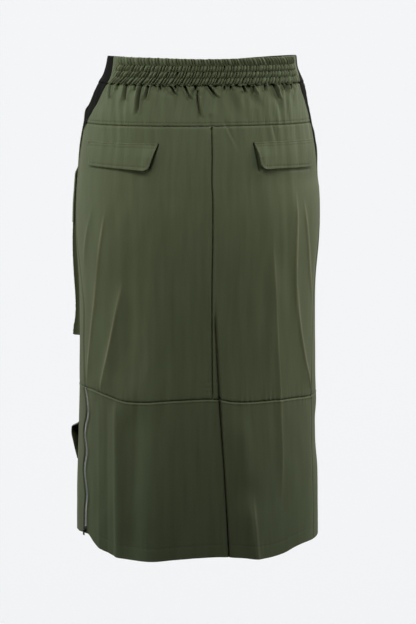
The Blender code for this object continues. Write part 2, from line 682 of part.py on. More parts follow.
def make_hip_pockets() -> None:
    """Pocket facings between the side seams and the pocket mouths, tucked under the front panel."""
    def facing(name: str, mouth: Callable[[float], float], seam: Callable[[float], float],
               turn: float) -> None:
        heights = [part ** 1.5 for part in even(8)]
        stops = spread([0.0, 1.0, 2.0], [2, 3])

        def place(column: int, row: int, inner: bool) -> Vector:
            stop = stops[column] if turn < 0 else stops[-1 - column]
            angle = seam(0.0)
            height = start = 0.0
            for _ in range(3):
                high = band_bottom(angle) - SEAM_GAP / 2
                height = high + (FACING_END - high) * heights[row]
                start = moved(seam(height), height, turn * FACING_SIDE)
                rim = mouth(height) + turn * 0.3
                if stop < 1.0:
                    angle = start + (rim - start) * stop
                else:
                    angle = rim + turn * FACING_TUCK * (stop - 1.0)
            room = abs(mouth(height) - seam(height)) * arc_scale(angle, height)
            flush = smoothstep((room - 0.004) / 0.010) * (1.0 - smoothstep(stop))
            deep = WALL + FACING_GAP - 0.6 * mouth_lift(angle, height)
            sink = deep + (FACING_FLUSH - deep) * flush
            return cloth_point(angle, height, -sink - (WALL if inner else 0.0))

        sewn_piece(name, len(stops) - 1, len(heights) - 1, place, POCKETING)

    facing("hip_pocket_left", mouth_left, left_seam, 1.0)
    facing("hip_pocket_right", mouth_right, lambda height: 360.0 + right_seam(height), -1.0)


# ---------------------------------------------------------------- flaps and cargo pocket
class Flap(NamedTuple):
    """A pocket flap sewn along its top edge. Angles are greatest first."""
    name: str
    top: float
    start_top: float
    end_top: float
    bottom_start: float   # height of the lower edge at its first end
    bottom_end: float
    start_bottom: float
    end_bottom: float
    stand_start: float    # how far the free corner stands off at the first end
    stand_end: float
    corner: float         # radius of the corner that shows, as a share of the flap's height


FLAPS = (
    Flap("flap_left", -0.1095, 76.4, 32.8, -0.1470, -0.1500, 72.2, 37.6, 0.0010, 0.0062, 0.16),
    Flap("flap_right", -0.1085, -32.7, -74.4, -0.1490, -0.1520, -36.0, -70.0, 0.0052, 0.0010, 0.16),
)


def make_back_flaps() -> None:
    """Flaps of the two back pockets."""
    columns = 12
    downs = [0.0, 0.12, 0.45, 0.78, 0.92, 1.0]
    for flap in FLAPS:
        def place(column: int, row: int, inner: bool) -> Vector:
            down = downs[row]
            across = column / columns
            low = flap.bottom_start + (flap.bottom_end - flap.bottom_start) * across
            start = flap.start_top + (flap.start_bottom - flap.start_top) * down
            end = flap.end_top + (flap.end_bottom - flap.end_top) * down
            round_part = max(0.0, (down - 1.0 + flap.corner) / flap.corner)
            inset = 2.6 * (1.0 - math.sqrt(max(0.0, 1.0 - round_part ** 2)))
            if flap.stand_end > flap.stand_start:
                end += inset
            else:
                start -= inset
            angle = start + (end - start) * across
            height = flap.top + (low - flap.top) * down
            stand = flap.stand_start * (1.0 - across) ** 1.5 + flap.stand_end * across ** 1.5
            lift = LAYER_GAP + WALL + (stand + 0.0008) * smoothstep(down) ** 0.8
            return cloth_point(angle, height, lift - (WALL if inner else 0.0))

        sewn_piece(flap.name, columns, len(downs) - 1, place)


def pocket_out(part: float, height: float) -> float:
    """How far the cargo pocket's outer face stands off the panel."""
    down = (POCKET_TOP - height) / (POCKET_TOP - POCKET_BOTTOM)
    crown = math.sin(math.pi * min(max(part, 0.0), 1.0)) * math.sin(math.pi * min(max(down, 0.35), 1.0))
    return along(POCKET_STAND, height)[0] + POCKET_CROWN * crown


def make_cargo_pocket() -> None:
    """Cargo pocket on the wearer's left: a bellows tray, open at the top, and its flap."""
    across = [0.0, *POCKET_ACROSS, 1.0]
    down = [0.0, 0.12, 0.28, 0.46, 0.64, 0.80, 0.93, 1.0, 1.0]
    last_column = len(across) - 1
    last_row = len(down) - 1

    def place(column: int, row: int, inner: bool) -> Vector:
        foot = column in (0, last_column) or row == last_row
        height = POCKET_TOP + (POCKET_BOTTOM - POCKET_TOP) * down[row]
        start = POCKET_FRONT_EDGE
        end = POCKET_BACK_EDGE
        if inner:
            height = max(height, POCKET_BOTTOM + WALL)
            start = moved(start, height, -WALL)
            end = moved(end, height, WALL)
        angle = start + (end - start) * across[column]
        lift = POCKET_FOOT if foot else pocket_out(across[column], height) - (WALL if inner else 0.0)
        return cloth_point(angle, height, lift)

    sewn_piece("cargo_pocket", last_column, last_row, place)

    flap_across = [0.0, 0.06, 0.24, 0.41, 0.59, 0.76, 0.94, 1.0]
    flap_down = [0.0, 0.08, 0.20, 0.40, 0.70, 1.0]

    def flap_place(column: int, row: int, inner: bool) -> Vector:
        part = flap_across[column]
        drop = flap_down[row]
        height = POCKET_FLAP_TOP + (POCKET_FLAP_BOTTOM - POCKET_FLAP_TOP) * drop
        start = moved(POCKET_FRONT_EDGE, height, 0.0025)
        end = moved(POCKET_BACK_EDGE, height, -0.0025)
        angle = start + (end - start) * part
        lift = POCKET_FOOT + WALL + (pocket_out(part, height) + FLAP_CLEAR) * smoothstep(drop / 0.18) ** 0.8
        return cloth_point(angle, height, lift - (WALL if inner else 0.0))

    sewn_piece("cargo_pocket_flap", len(flap_across) - 1, len(flap_down) - 1, flap_place)


def make_utility_loop() -> None:
    """Loop of folded cloth on the lower tier, beside the zip."""
    profile = ((0.00, 0.0), (0.03, 0.45), (0.07, 0.90), (0.16, 1.0), (0.30, 0.96), (0.50, 0.70),
               (0.70, 0.44), (0.88, 0.18), (1.00, 0.0))
    columns = 3

    def place(column: int, row: int, inner: bool) -> Vector:
        down, out = profile[row]
        half = LOOP_WIDTH / 2
        height = LOOP_TOP + (LOOP_BOTTOM - LOOP_TOP) * down
        lift = LAYER_GAP + (LOOP_STAND - LAYER_GAP) * out
        if inner:
            if row <= 2:
                height -= WALL
            elif row >= len(profile) - 2:
                height += WALL * 2.2
            lift = max(LAYER_GAP, lift - WALL)
        angle = moved(LOOP_ANGLE, height, half - LOOP_WIDTH * column / columns)
        return cloth_point(angle, height, lift)

    sewn_piece("utility_loop", columns, len(profile) - 1, place)


# ---------------------------------------------------------------- zip
def make_side_zip() -> None:
    """Closed chain of the side zip, from the knee seam to the slider."""
    top = knee_seam(left_seam(ZIP_LINE[0].height)) - SEAM_GAP / 2
    low = hem(left_seam(SLIDER_TOP)) + SEAM_GAP / 2
    heights = [top + (low - top) * part for part in even(TIER_ROWS)]
    heights = [height for height in heights if height > SLIDER_TOP + SEAM_GAP] + [SLIDER_TOP + SEAM_GAP]
    heights[0] -= SEAM_GAP / 2
    columns = 2

    def place(column: int, row: int, inner: bool) -> Vector:
        height = heights[row]
        across = ZIP_WIDTH * (0.5 - column / columns)
        angle = moved(left_seam(height), height, across)
        crown = 0.0005 * (1.0 - (2.0 * column / columns - 1.0) ** 2)
        return cloth_point(angle, height, crown - (ZIP_THICKNESS if inner else 0.0))

    sewn_piece("side_zip", columns, len(heights) - 1, place, METAL, METAL_ROUGH, 1.0)


def slider_frame() -> Matrix:
    """Frame of the slider: X along the cloth to the wearer's left, Y out of the cloth, Z up."""
    height = SLIDER_TOP - SLIDER_LENGTH / 2
    angle = left_seam(height)
    step = skin(angle + 0.5, height) - skin(angle - 0.5, height)
    sideways = Vector((step.x, step.y, 0.0)).normalized()
    outwards = Vector((-sideways.y, sideways.x, 0.0))
    frame = Matrix((sideways, outwards, Vector((0.0, 0.0, 1.0)))).transposed().to_4x4()
    frame.translation = skin(angle, height)
    return frame


def block(builder: bmesh.types.BMesh, low: tuple, high: tuple, bevel: float = 0.0) -> None:
    """Add a box between two corners, with its edges rounded."""
    size = [top - bottom for bottom, top in zip(low, high)]
    centre = [(top + bottom) / 2 for bottom, top in zip(low, high)]
    made = bmesh.ops.create_cube(builder, size=1.0)
    bmesh.ops.scale(builder, vec=size, verts=made["verts"])
    bmesh.ops.translate(builder, vec=centre, verts=made["verts"])
    if bevel:
        edges = list({edge for vertex in made["verts"] for edge in vertex.link_edges})
        bmesh.ops.bevel(builder, geom=edges, offset=bevel, segments=1, profile=0.5, affect="EDGES")


def ring_bar(builder: bmesh.types.BMesh, radius: float, half_length: float, sides: int) -> None:
    """Add a round bar along X on the pin's axis."""
    turn = Matrix.Rotation(math.radians(90), 4, "Y")
    place = Matrix.Translation((0.0, PIN_LIFT, 0.0)) @ turn
    bmesh.ops.create_cone(builder, cap_ends=True, segments=sides, radius1=radius, radius2=radius,
                          depth=2 * half_length, matrix=place)


def joined(name: str, parts: list, cutters: list, frame: Matrix) -> None:
    """Unite small solids into one body, cut it, and place it."""
    base = finish_object(name, parts[0], METAL, METAL_ROUGH, 1.0)
    base.matrix_world = frame
    for index, (extra, operation) in enumerate(
            [(part, "UNION") for part in parts[1:]] + [(cutter, "DIFFERENCE") for cutter in cutters]):
        tool = finish_object(f"{name}_tool_{index}", extra, METAL, METAL_ROUGH, 1.0)
        tool.matrix_world = frame
        tool.hide_render = True
        tool.display_type = "WIRE"
        change = base.modifiers.new(f"shape_{index}", "BOOLEAN")
        change.operation = operation
        change.object = tool


def make_slider_and_pull() -> None:
    """Slider at the foot of the zip, and the pull that swings on its pin."""
    frame = slider_frame()
    inside = PULL_WIDTH / 2 + 0.0004
    outside = inside + EAR_THICKNESS

    body = bmesh.new()
    block(body, (-SLIDER_BODY_WIDTH / 2, -0.0022, -SLIDER_LENGTH / 2),
          (SLIDER_BODY_WIDTH / 2, 0.0009, SLIDER_LENGTH / 2), 0.0005)
    plate = bmesh.new()
    block(plate, (-outside, 0.0004, -SLIDER_LENGTH / 2 + 0.0006),
          (outside, 0.0013, SLIDER_LENGTH / 2 - 0.0006))
    ears = []
    for side in (-1.0, 1.0):
        ear = bmesh.new()
        near, far = sorted((side * inside, side * outside))
        block(ear, (near, 0.0008, -0.0016), (far, PIN_LIFT + 0.0011, 0.0016))
        ears.append(ear)
    pin = bmesh.new()
    ring_bar(pin, PIN_RADIUS, outside - 0.0002, 10)
    joined("zip_slider", [body, plate, *ears, pin], [], frame)

    eye = bmesh.new()
    ring_bar(eye, EYE_RADIUS, PULL_WIDTH / 2, 14)
    tab = bmesh.new()
    middle = PIN_LIFT
    block(tab, (-PULL_WIDTH / 2, middle - PULL_THICKNESS / 2, -PULL_LENGTH),
          (PULL_WIDTH / 2, middle + PULL_THICKNESS / 2, -0.0008), 0.0003)
    bore = bmesh.new()
    ring_bar(bore, EYE_BORE, PULL_WIDTH, 12)
    joined("zip_pull", [eye, tab], [bore], frame)


def main() -> None:
    """Clear the scene and build every piece."""
    for item in list(bpy.data.objects):
        bpy.data.objects.remove(item, do_unlink=True)
    make_waistband_back()
    make_waistband_front()
    make_back_yoke()
    make_back_panels()
    make_back_hem_tier()
    make_front_panel()
    make_front_hem_tier()
    make_hip_pockets()
    make_back_flaps()
    make_cargo_pocket()
    make_utility_loop()
    make_side_zip()
    make_slider_and_pull()


main()
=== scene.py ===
"""The looks of the cargo utility skirt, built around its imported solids.

Metres, +Z up. The wearer's left is +X and the wearer's back is +Y, and the origin is the middle of the
waistband. A place on the cloth is an angle and a height: the angle is in degrees from the middle of the
back (0) towards the wearer's left (90) and round to the front (180). Every cloth piece is a grid that is
carried to its place on one form, a ring for each height with its folds, and then given its thickness.

Fields are arrays with one value for each place. Where a method takes angle and height, they are those
places, and degree is the metres of cloth in one degree there.
"""
import logging
import math
from dataclasses import dataclass
from enum import Enum
from typing import Callable, NamedTuple, Sequence

import bmesh
import bpy
import numpy as np
from mathutils import Matrix, Quaternion, Vector


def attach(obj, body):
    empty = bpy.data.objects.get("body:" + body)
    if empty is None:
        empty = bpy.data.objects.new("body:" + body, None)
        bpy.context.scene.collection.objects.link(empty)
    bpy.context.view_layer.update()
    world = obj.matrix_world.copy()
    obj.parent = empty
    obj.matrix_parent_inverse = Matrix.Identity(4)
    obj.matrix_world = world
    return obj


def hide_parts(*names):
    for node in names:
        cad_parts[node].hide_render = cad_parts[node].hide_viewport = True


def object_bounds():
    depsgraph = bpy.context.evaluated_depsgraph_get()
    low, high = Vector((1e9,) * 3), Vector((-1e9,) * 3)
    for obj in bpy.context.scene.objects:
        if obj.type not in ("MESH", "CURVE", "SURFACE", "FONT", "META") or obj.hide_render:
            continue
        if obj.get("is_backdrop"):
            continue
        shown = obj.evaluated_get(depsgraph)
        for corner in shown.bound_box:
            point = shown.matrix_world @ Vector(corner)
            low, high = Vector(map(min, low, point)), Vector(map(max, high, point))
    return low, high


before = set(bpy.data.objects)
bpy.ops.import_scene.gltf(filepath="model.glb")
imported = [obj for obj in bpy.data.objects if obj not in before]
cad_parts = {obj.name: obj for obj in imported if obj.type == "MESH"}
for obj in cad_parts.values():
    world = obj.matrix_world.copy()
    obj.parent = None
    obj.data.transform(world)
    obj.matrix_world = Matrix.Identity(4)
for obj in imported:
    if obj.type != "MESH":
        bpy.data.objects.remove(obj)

LOG = logging.getLogger("skirt")
BODY = "skirt"
CLOTH_UV = "cloth"
# attribute that carries the painted highlight along the crests of the sharp ridges
PAINTED_CREST_HIGHLIGHT = "painted_crest_highlight"
Field = np.ndarray
Place = tuple[Field, Field, Field]  # angles, heights, and lifts off the form
Spot = Callable[[Field, Field], Place]  # from shares across and shares down
Course = Callable[[Field], Field]  # of a seam: its heights at angles, or its angles at heights
Relief = Callable[[Field, Field], Field]  # how far a piece stands off the form at angles and heights
Stops = Callable[[Field], list[Field]]  # angles of a piece's main columns at heights
Size = tuple[float, float]

SEAM_GAP = 0.0004  # between two neighbours' edges
TUCK_DEPTH = 0.0024  # how deep a turned-in edge lies behind its neighbour
THREAD_RISE = 0.0001  # how far the middle of a stitch stands out of its cloth
SETTLING_ROUNDS = 5  # a place's angle and height depend on each other, and settle in this many
MAP_PLACE = (45.0, -0.3)  # the angle and height where the cloth map is true to size


# -------------------- tables of the form
def table(kind: type, *rows: Sequence[object]) -> tuple:
    """Turn rows of plain values into a table with named columns.

    Args:
        kind: The named tuple that each row becomes.
        rows: The rows.

    Returns:
        The table.
    """
    return tuple(kind(*row) for row in rows)


class Ring(NamedTuple):
    """One level section of the form."""
    height: float
    half_width: float
    behind: float  # depth from the axis to the back
    ahead: float  # depth from the axis to the front
    shift: float  # how far the ring's middle sits to the wearer's left
    square: float  # 2 is an ellipse, more is squarer


RINGS = table(
    Ring,
    (0.021, 0.1496, 0.104, 0.106, -0.007, 2.1),
    (0.004, 0.1522, 0.1065, 0.108, -0.0063, 2.1),
    (-0.011, 0.1575, 0.108, 0.1095, -0.0064, 2.1),
    (-0.021, 0.1638, 0.109, 0.111, -0.0058, 2.1),
    (-0.037, 0.1704, 0.1115, 0.113, -0.0035, 2.12),
    (-0.052, 0.1742, 0.114, 0.115, -0.0022, 2.15),
    (-0.068, 0.1795, 0.117, 0.117, -0.0013, 2.15),
    (-0.085, 0.1826, 0.12, 0.119, -0.0011, 2.15),
    (-0.125, 0.1892, 0.125, 0.121, -0.001, 2.15),
    (-0.17, 0.192, 0.129, 0.123, 0, 2.15),
    (-0.19, 0.1941, 0.13, 0.1235, -0.0009, 2.17),
    (-0.22, 0.1955, 0.131, 0.124, -0.001, 2.2),
    (-0.27, 0.1948, 0.131, 0.124, -0.0008, 2.2),
    (-0.33, 0.1912, 0.13, 0.124, 0, 2.2),
    (-0.4, 0.19, 0.13, 0.125, 0, 2.2),
    (-0.51, 0.1915, 0.134, 0.129, 0, 2.2),
    (-0.64, 0.195, 0.139, 0.135, 0, 2.2),
    (-0.775, 0.1975, 0.143, 0.14, 0, 2.2),
)


class Line(NamedTuple):
    """A place on a seam that runs downwards."""
    height: float
    angle: float


LEFT_SEAM = table(
    Line,
    (0.021, 76.5), (-0.002, 75), (-0.034, 74.3), (-0.05, 75.7), (-0.066, 78), (-0.082, 81.5), (-0.098, 85),
    (-0.17, 87.5), (-0.27, 86.5), (-0.32, 83), (-0.37, 79), (-0.43, 79.4), (-0.5, 76.9),
)
RIGHT_SEAM = table(
    Line,
    (0.021, -80), (-0.006, -79), (-0.018, -74.6), (-0.034, -72.9), (-0.05, -74.8), (-0.082, -76.2),
    (-0.11, -77.4), (-0.17, -79.4), (-0.27, -79), (-0.37, -76), (-0.5, -71), (-0.775, -70),
)
ZIP_LINE = table(
    Line,
    (-0.5, 76.9), (-0.539, 73.7), (-0.575, 76.3), (-0.604, 74.1), (-0.635, 75.3), (-0.675, 72.9),
    (-0.704, 73.7), (-0.775, 73.2),
)
OVERLAP_LINE = table(
    Line,
    (-0.34, -6.4), (-0.414, -7.9), (-0.502, -9.3), (-0.577, -10.8), (-0.775, -14.2),
)


class Edge(NamedTuple):
    """A place on a seam or hem that runs round the skirt."""
    angle: float
    height: float


KNEE_SEAM = table(
    Edge,
    (-110, -0.514), (-90, -0.5172), (-72, -0.52), (-58, -0.5165), (-46, -0.5145), (-28, -0.514),
    (-17, -0.512), (-8, -0.508), (20, -0.509), (48, -0.514), (60, -0.507), (70.5, -0.502), (75.5, -0.502),
    (80.5, -0.502), (110, -0.504), (180, -0.51), (215, -0.5108), (250, -0.514),
)
HEM = table(
    Edge,
    (-110, -0.757), (-75, -0.757), (-58, -0.755), (-44, -0.762), (-31, -0.7625), (-20, -0.759),
    (-8, -0.7585), (8, -0.759), (20, -0.7605), (35, -0.764), (48, -0.763), (57, -0.759), (62.5, -0.755),
    (66, -0.749), (69.5, -0.741), (71.8, -0.7375), (74, -0.738), (78, -0.7405), (84, -0.7435),
    (110, -0.754), (180, -0.76), (250, -0.757),
)


class Fold(NamedTuple):
    """A ridge or trough that runs down the cloth."""
    top: float  # height where it begins
    at_top: float  # its angle there
    at_middle: float
    at_bottom: float
    bottom: float  # height where it ends
    width: float  # half its width
    rise: float  # height of a ridge, or less than 0 for a trough
    crest: float  # radius that rounds its crest
    fade_in: float  # length over which it grows below its top
    fade_out: float  # length over which it dies above its bottom


FOLDS = table(
    Fold,
    # lobes of the flared hem, left and right of the centre back
    (-0.43, 36, 34, 33, -0.9, 0.046, 0.015, 0.03, 0.3, 0.01),
    (-0.43, -34, -33, -32, -0.9, 0.04, 0.013, 0.03, 0.3, 0.01),
    # long folds on the wearer's left
    (-0.205, 62.5, 69, 75, -0.52, 0.011, 0.0026, 0.004, 0.09, 0.06),
    (-0.31, 52, 58, 63, -0.52, 0.01, 0.0034, 0.006, 0.08, 0.04),
    (-0.25, 47, 51, 54, -0.515, 0.016, -0.0026, 0.012, 0.09, 0.05),
    (-0.5, 53.8, 51, 49.2, -0.86, 0.009, 0.0046, 0.006, 0.06, 0.02),
    (-0.5, 45.5, 43, 41.5, -0.8, 0.015, -0.006, 0.012, 0.06, 0.08),
    # long folds on the wearer's right
    (-0.27, -43.5, -47, -44.5, -0.69, 0.012, 0.003, 0.004, 0.07, 0.09),
    (-0.17, -57.5, -58.6, -71, -0.53, 0.012, 0.0026, 0.004, 0.09, 0.05),
    (-0.52, -23, -24, -25.5, -0.68, 0.01, 0.003, 0.008, 0.05, 0.06),
    (-0.64, -23.5, -27.5, -32, -0.86, 0.014, 0.006, 0.003, 0.06, 0.02),
    (-0.53, -84, -84, -84, -0.65, 0.018, -0.004, 0.01, 0.05, 0.05),
    # the front falls in the same way
    (-0.24, 118, 122, 124, -0.56, 0.014, 0.0036, 0.01, 0.11, 0.08),
    (-0.3, 232, 228, 226, -0.54, 0.014, 0.0042, 0.006, 0.1, 0.06),
    (-0.47, 205, 206, 208, -0.9, 0.03, 0.011, 0.022, 0.22, 0.01),
    (-0.47, 152, 153, 154, -0.9, 0.032, 0.011, 0.022, 0.22, 0.01),
    (-0.44, 180, 179, 178, -0.9, 0.02, -0.009, 0.014, 0.24, 0.01),
    (-0.48, 262, 260, 258, -0.84, 0.018, 0.005, 0.01, 0.12, 0.06),
    (-0.48, 112, 111, 110, -0.86, 0.018, 0.0055, 0.012, 0.12, 0.04),
)
CREASES = table(
    Fold,
    # small creases that only the dressed cloth has: under the yoke
    (-0.062, -2.6, -3.2, -3.8, -0.092, 0.002, -0.0014, 0.001, 0.008, 0.006),
    (-0.066, -12, -17.5, -23.5, -0.124, 0.0034, -0.0016, 0.001, 0.018, 0.03),
    (-0.066, -10, -15, -20.5, -0.12, 0.0034, 0.0012, 0.001, 0.018, 0.03),
    (-0.078, -46, -46.7, -47.4, -0.118, 0.0022, -0.0014, 0.0008, 0.01, 0.03),
    (-0.078, 28, 26, 24.5, -0.15, 0.006, -0.001, 0.003, 0.01, 0.05),
    (-0.08, -62, -60, -58.5, -0.17, 0.005, -0.0012, 0.0025, 0.01, 0.06),
    # thin ridges on the wearer's left
    (-0.205, 60.2, 68.2, 75.4, -0.505, 0.0018, 0.0016, 0.0005, 0.05, 0.06),
    (-0.2, 67.5, 73.5, 78.5, -0.33, 0.0046, 0.0022, 0.0015, 0.05, 0.06),
    (-0.32, 51.8, 58.2, 64.4, -0.505, 0.0024, 0.0018, 0.0008, 0.04, 0.02),
    (-0.3, 47, 45.5, 44, -0.5, 0.02, -0.0022, 0.01, 0.1, 0.08),
    # thin ridges on the wearer's right
    (-0.255, -42.4, -46.6, -44.8, -0.69, 0.0016, 0.0008, 0.0005, 0.05, 0.11),
    (-0.18, -57.6, -57, -59.8, -0.4, 0.0018, 0.0018, 0.0005, 0.05, 0.07),
    (-0.33, -58.6, -62.6, -72, -0.52, 0.0018, 0.0022, 0.0005, 0.05, 0.02),
    (-0.195, -62, -67.4, -76.5, -0.39, 0.002, 0.002, 0.0006, 0.04, 0.06),
    (-0.27, -38, -37, -36, -0.42, 0.006, -0.001, 0.003, 0.06, 0.08),
    # the overlapping fold begins as a sharp crease
    (-0.366, -5.6, -8, -10.4, -0.62, 0.0013, -0.0062, 0.0006, 0.034, 0.1),
    (-0.362, -7.1, -9.5, -11.9, -0.56, 0.003, 0.0012, 0.0008, 0.03, 0.06),
    # lower tier
    (-0.65, -27.5, -29.6, -33, -0.86, 0.0026, 0.001, 0.0006, 0.05, 0.02),
    (-0.505, 55, 52.2, 50.4, -0.86, 0.0036, 0.0022, 0.0012, 0.03, 0.03),
    (-0.505, 60.5, 58, 56.5, -0.86, 0.005, -0.0016, 0.002, 0.03, 0.03),
    (-0.505, 65.5, 63, 62, -0.86, 0.004, 0.0012, 0.0012, 0.03, 0.03),
    (-0.15, -20, -19, -18, -0.48, 0.03, 0.0024, 0.015, 0.1, 0.15),
    (-0.16, 22, 20, 18, -0.47, 0.026, 0.002, 0.015, 0.12, 0.14),
)


class Gather(NamedTuple):
    """A trough that the elastic sends down into the yoke."""
    at_top: float  # its angle under the waistband
    at_end: float
    end: float  # height where it dies out
    width: float  # half its width
    depth: float


GATHERS = table(
    Gather,
    (69.5, 67.5, -0.036, 0.003, 0.0035), (64.5, 63, -0.048, 0.0034, 0.0022),
    (58.4, 53.5, -0.064, 0.0032, 0.0065), (52.6, 52.4, -0.04, 0.0028, 0.004),
    (45.5, 44, -0.056, 0.004, 0.0028), (40.5, 38.6, -0.034, 0.0028, 0.0028),
    (35.9, 28, -0.04, 0.0028, 0.005), (30.6, 29.8, -0.031, 0.0026, 0.0031),
    (24, 21.8, -0.078, 0.0034, 0.004), (18.6, 14.6, -0.034, 0.0028, 0.004),
    (10.6, 5.6, -0.072, 0.0032, 0.0059), (2, -6, -0.04, 0.0028, 0.0052),
    (-5.6, -6.6, -0.064, 0.0034, 0.0046), (-15.2, -25.2, -0.076, 0.005, 0.005),
    (-22.6, -28.4, -0.03, 0.0028, 0.004), (-32.4, -38.4, -0.058, 0.004, 0.0071),
    (-37.2, -36.8, -0.028, 0.0026, 0.0037), (-43.8, -43.4, -0.03, 0.0026, 0.004),
    (-49.6, -53.2, -0.068, 0.0038, 0.0063), (-60, -60.8, -0.05, 0.004, 0.0031),
)


class Pinch(NamedTuple):
    """A sharp crease where the yoke's cloth is pinched under the waistband."""
    top: float  # height where it begins
    at_top: float  # its angle there
    at_end: float
    end: float  # height where it dies out
    width: float  # half its width
    depth: float


PINCHES = table(
    Pinch,
    (-0.02, 71, 66.4, -0.044, 0.0011, 0.0132), (-0.02, 65.8, 64.6, -0.03, 0.001, 0.0095),
    (-0.019, 59.8, 57, -0.046, 0.0012, 0.0178), (-0.019, 53.6, 52.8, -0.03, 0.0011, 0.0113),
    (-0.019, 49.6, 47.4, -0.066, 0.0014, 0.019), (-0.019, 44.8, 44.2, -0.044, 0.0012, 0.0178),
    (-0.02, 37.6, 35.6, -0.03, 0.001, 0.0104), (-0.018, 30.6, 24.6, -0.036, 0.0011, 0.0166),
    (-0.02, 26.2, 25.6, -0.029, 0.001, 0.0095), (-0.02, 19.8, 12.8, -0.043, 0.0012, 0.0178),
    (-0.036, 8, 4.4, -0.07, 0.0012, 0.0157), (-0.02, 10.8, 10.2, -0.03, 0.001, 0.0095),
    (-0.02, 1, -8, -0.04, 0.0012, 0.0189), (-0.02, -12.6, -13.4, -0.03, 0.001, 0.0095),
    (-0.02, -17.4, -18.6, -0.029, 0.001, 0.0095), (-0.019, -25.8, -29.6, -0.033, 0.0012, 0.0178),
    (-0.02, -34.6, -36.8, -0.035, 0.0011, 0.0136), (-0.02, -43.6, -43.8, -0.031, 0.0011, 0.0143),
    (-0.02, -50.4, -53.6, -0.045, 0.0011, 0.0157), (-0.02, -56.4, -57.8, -0.031, 0.0011, 0.0132),
    (-0.02, -62.2, -63, -0.03, 0.001, 0.0104),
)


class Across(NamedTuple):
    """One line along the overlapping fold beside the centre back seam."""
    place: float  # distance from the fold's edge, more than 0 on the wearer's left
    slide: float  # how far that line is carried to the wearer's left
    out: float  # how far it is carried outwards


OVERLAP = table(
    Across,
    (-0.075, 0, 0), (-0.04, 0, 0.0018), (-0.018, 0.0004, 0.0034), (-0.01, 0.0008, 0.0034),
    (-0.0045, 0.0015, 0.0022), (-0.0022, 0.0012, 0.0008), (-0.0011, 0.0009, -0.003),
    (-0.0001, 0.0004, -0.01), (0.0009, -0.0001, -0.016), (0.0019, -0.0007, -0.016),
    (0.0029, -0.0013, -0.01), (0.0039, -0.0018, -0.0036), (0.0055, -0.0023, -0.0012),
    (0.009, -0.0012, -0.0008), (0.015, -0.0006, -0.002), (0.024, 0, -0.0026), (0.045, 0, -0.0014),
    (0.085, 0, 0),
)


class Stand(NamedTuple):
    """How far a piece stands off the form at one height."""
    height: float
    out: float


MOUTH_STAND = table(
    Stand,
    (-0.021, 0), (-0.0585, 0), (-0.064, 0.0022), (-0.085, 0.0014), (-0.115, 0.0006), (-0.15, 0), (-0.17, 0),
)
POCKET_STAND = table(
    Stand,
    (-0.165, 0.0052), (-0.206, 0.0058), (-0.28, 0.0096), (-0.32, 0.0108), (-0.37, 0.0094), (-0.4, 0.0104),
    (-0.418, 0.0132), (-0.43, 0.0138),
)


class Bend(NamedTuple):
    """One place along the utility loop: share of the way down, and share of its stand."""
    down: float
    out: float


LOOP_BENDS = table(
    Bend,
    (0, 0.02), (0.03, 0.45), (0.07, 0.9), (0.16, 1), (0.3, 0.96), (0.5, 0.7), (0.7, 0.44), (0.88, 0.18),
    (1, 0.02),
)


# -------------------- small helpers
def smoothstep(value: Field) -> Field:
    """Rise smoothly from 0 to 1 as the value goes from 0 to 1."""
    clamped = np.clip(value, 0.0, 1.0)
    return clamped * clamped * (3.0 - 2.0 * clamped)


def blend(start: Field | float, end: Field | float, share: Field) -> Field:
    """Go from a start to an end by a share."""
    return start + (end - start) * share


def near(distance: Field, width: Field | float, power: float = 2) -> Field:
    """1 on a line, falling to 0 over a width beside it: more steeply with a higher power."""
    return np.exp(-(np.abs(distance) / width) ** power)


def wrapped(difference: Field) -> Field:
    """Bring differences of two angles between -180 and 180."""
    return (difference + 180.0) % 360.0 - 180.0


def crest_shape(distance: Field, width: Field, crest: Field) -> Field:
    """Height of a fold, from 1 on its line to 0 far away, rounded by the crest's radius."""
    return np.exp(-(np.hypot(distance, crest) - crest) / width)


def crowd_ends(share: Field, crowding: float) -> Field:
    """Move evenly spaced shares from 0 to 1 towards both ends.

    Args:
        share: Evenly spaced numbers from 0 to 1.
        crowding: Small numbers leave them almost even, and at 2 they crowd at the ends.

    Returns:
        The moved shares.
    """
    return 0.5 + 0.5 * np.tanh(crowding * (2.0 * share - 1.0)) / math.tanh(crowding)


def turned_in(past: Field, depth: Field | float = TUCK_DEPTH, early: float = 0.0006,
              run: float = 0.0010) -> Field:
    """How deep an edge is turned in behind its neighbour.

    Args:
        past: Distances past the seam.
        depth: How deep it goes.
        early: How far before the seam it begins.
        run: Distance over which it goes in.

    Returns:
        The depths.
    """
    return depth * smoothstep((past + early) / run)


def read(rows: Sequence[NamedTuple], place: Field) -> list[Field]:
    """Read a table's other columns at places in its first column, on smooth curves.

    Args:
        rows: The table, in rising or falling order of its first column.
        place: Places in that column.

    Returns:
        One array for each other column.
    """
    table = np.array(rows, float)
    table = table[np.argsort(table[:, 0])]
    keys = table[:, 0]
    place = np.clip(place, keys[0], keys[-1])
    first = np.clip(np.searchsorted(keys, place, side="right") - 1, 0, len(keys) - 2)
    before, after = np.maximum(first - 1, 0), np.minimum(first + 2, len(keys) - 1)
    span = keys[first + 1] - keys[first]
    part = (place - keys[first]) / span
    values = []
    for column in table.T[1:]:
        low, high = column[first], column[first + 1]
        slope_low = (high - column[before]) / (keys[first + 1] - keys[before])
        slope_high = (column[after] - low) / (keys[after] - keys[first])
        values.append((2 * part ** 3 - 3 * part ** 2 + 1) * low
                      + (part ** 3 - 2 * part ** 2 + part) * span * slope_low
                      + (3 * part ** 2 - 2 * part ** 3) * high
                      + (part ** 3 - part ** 2) * span * slope_high)
    return values


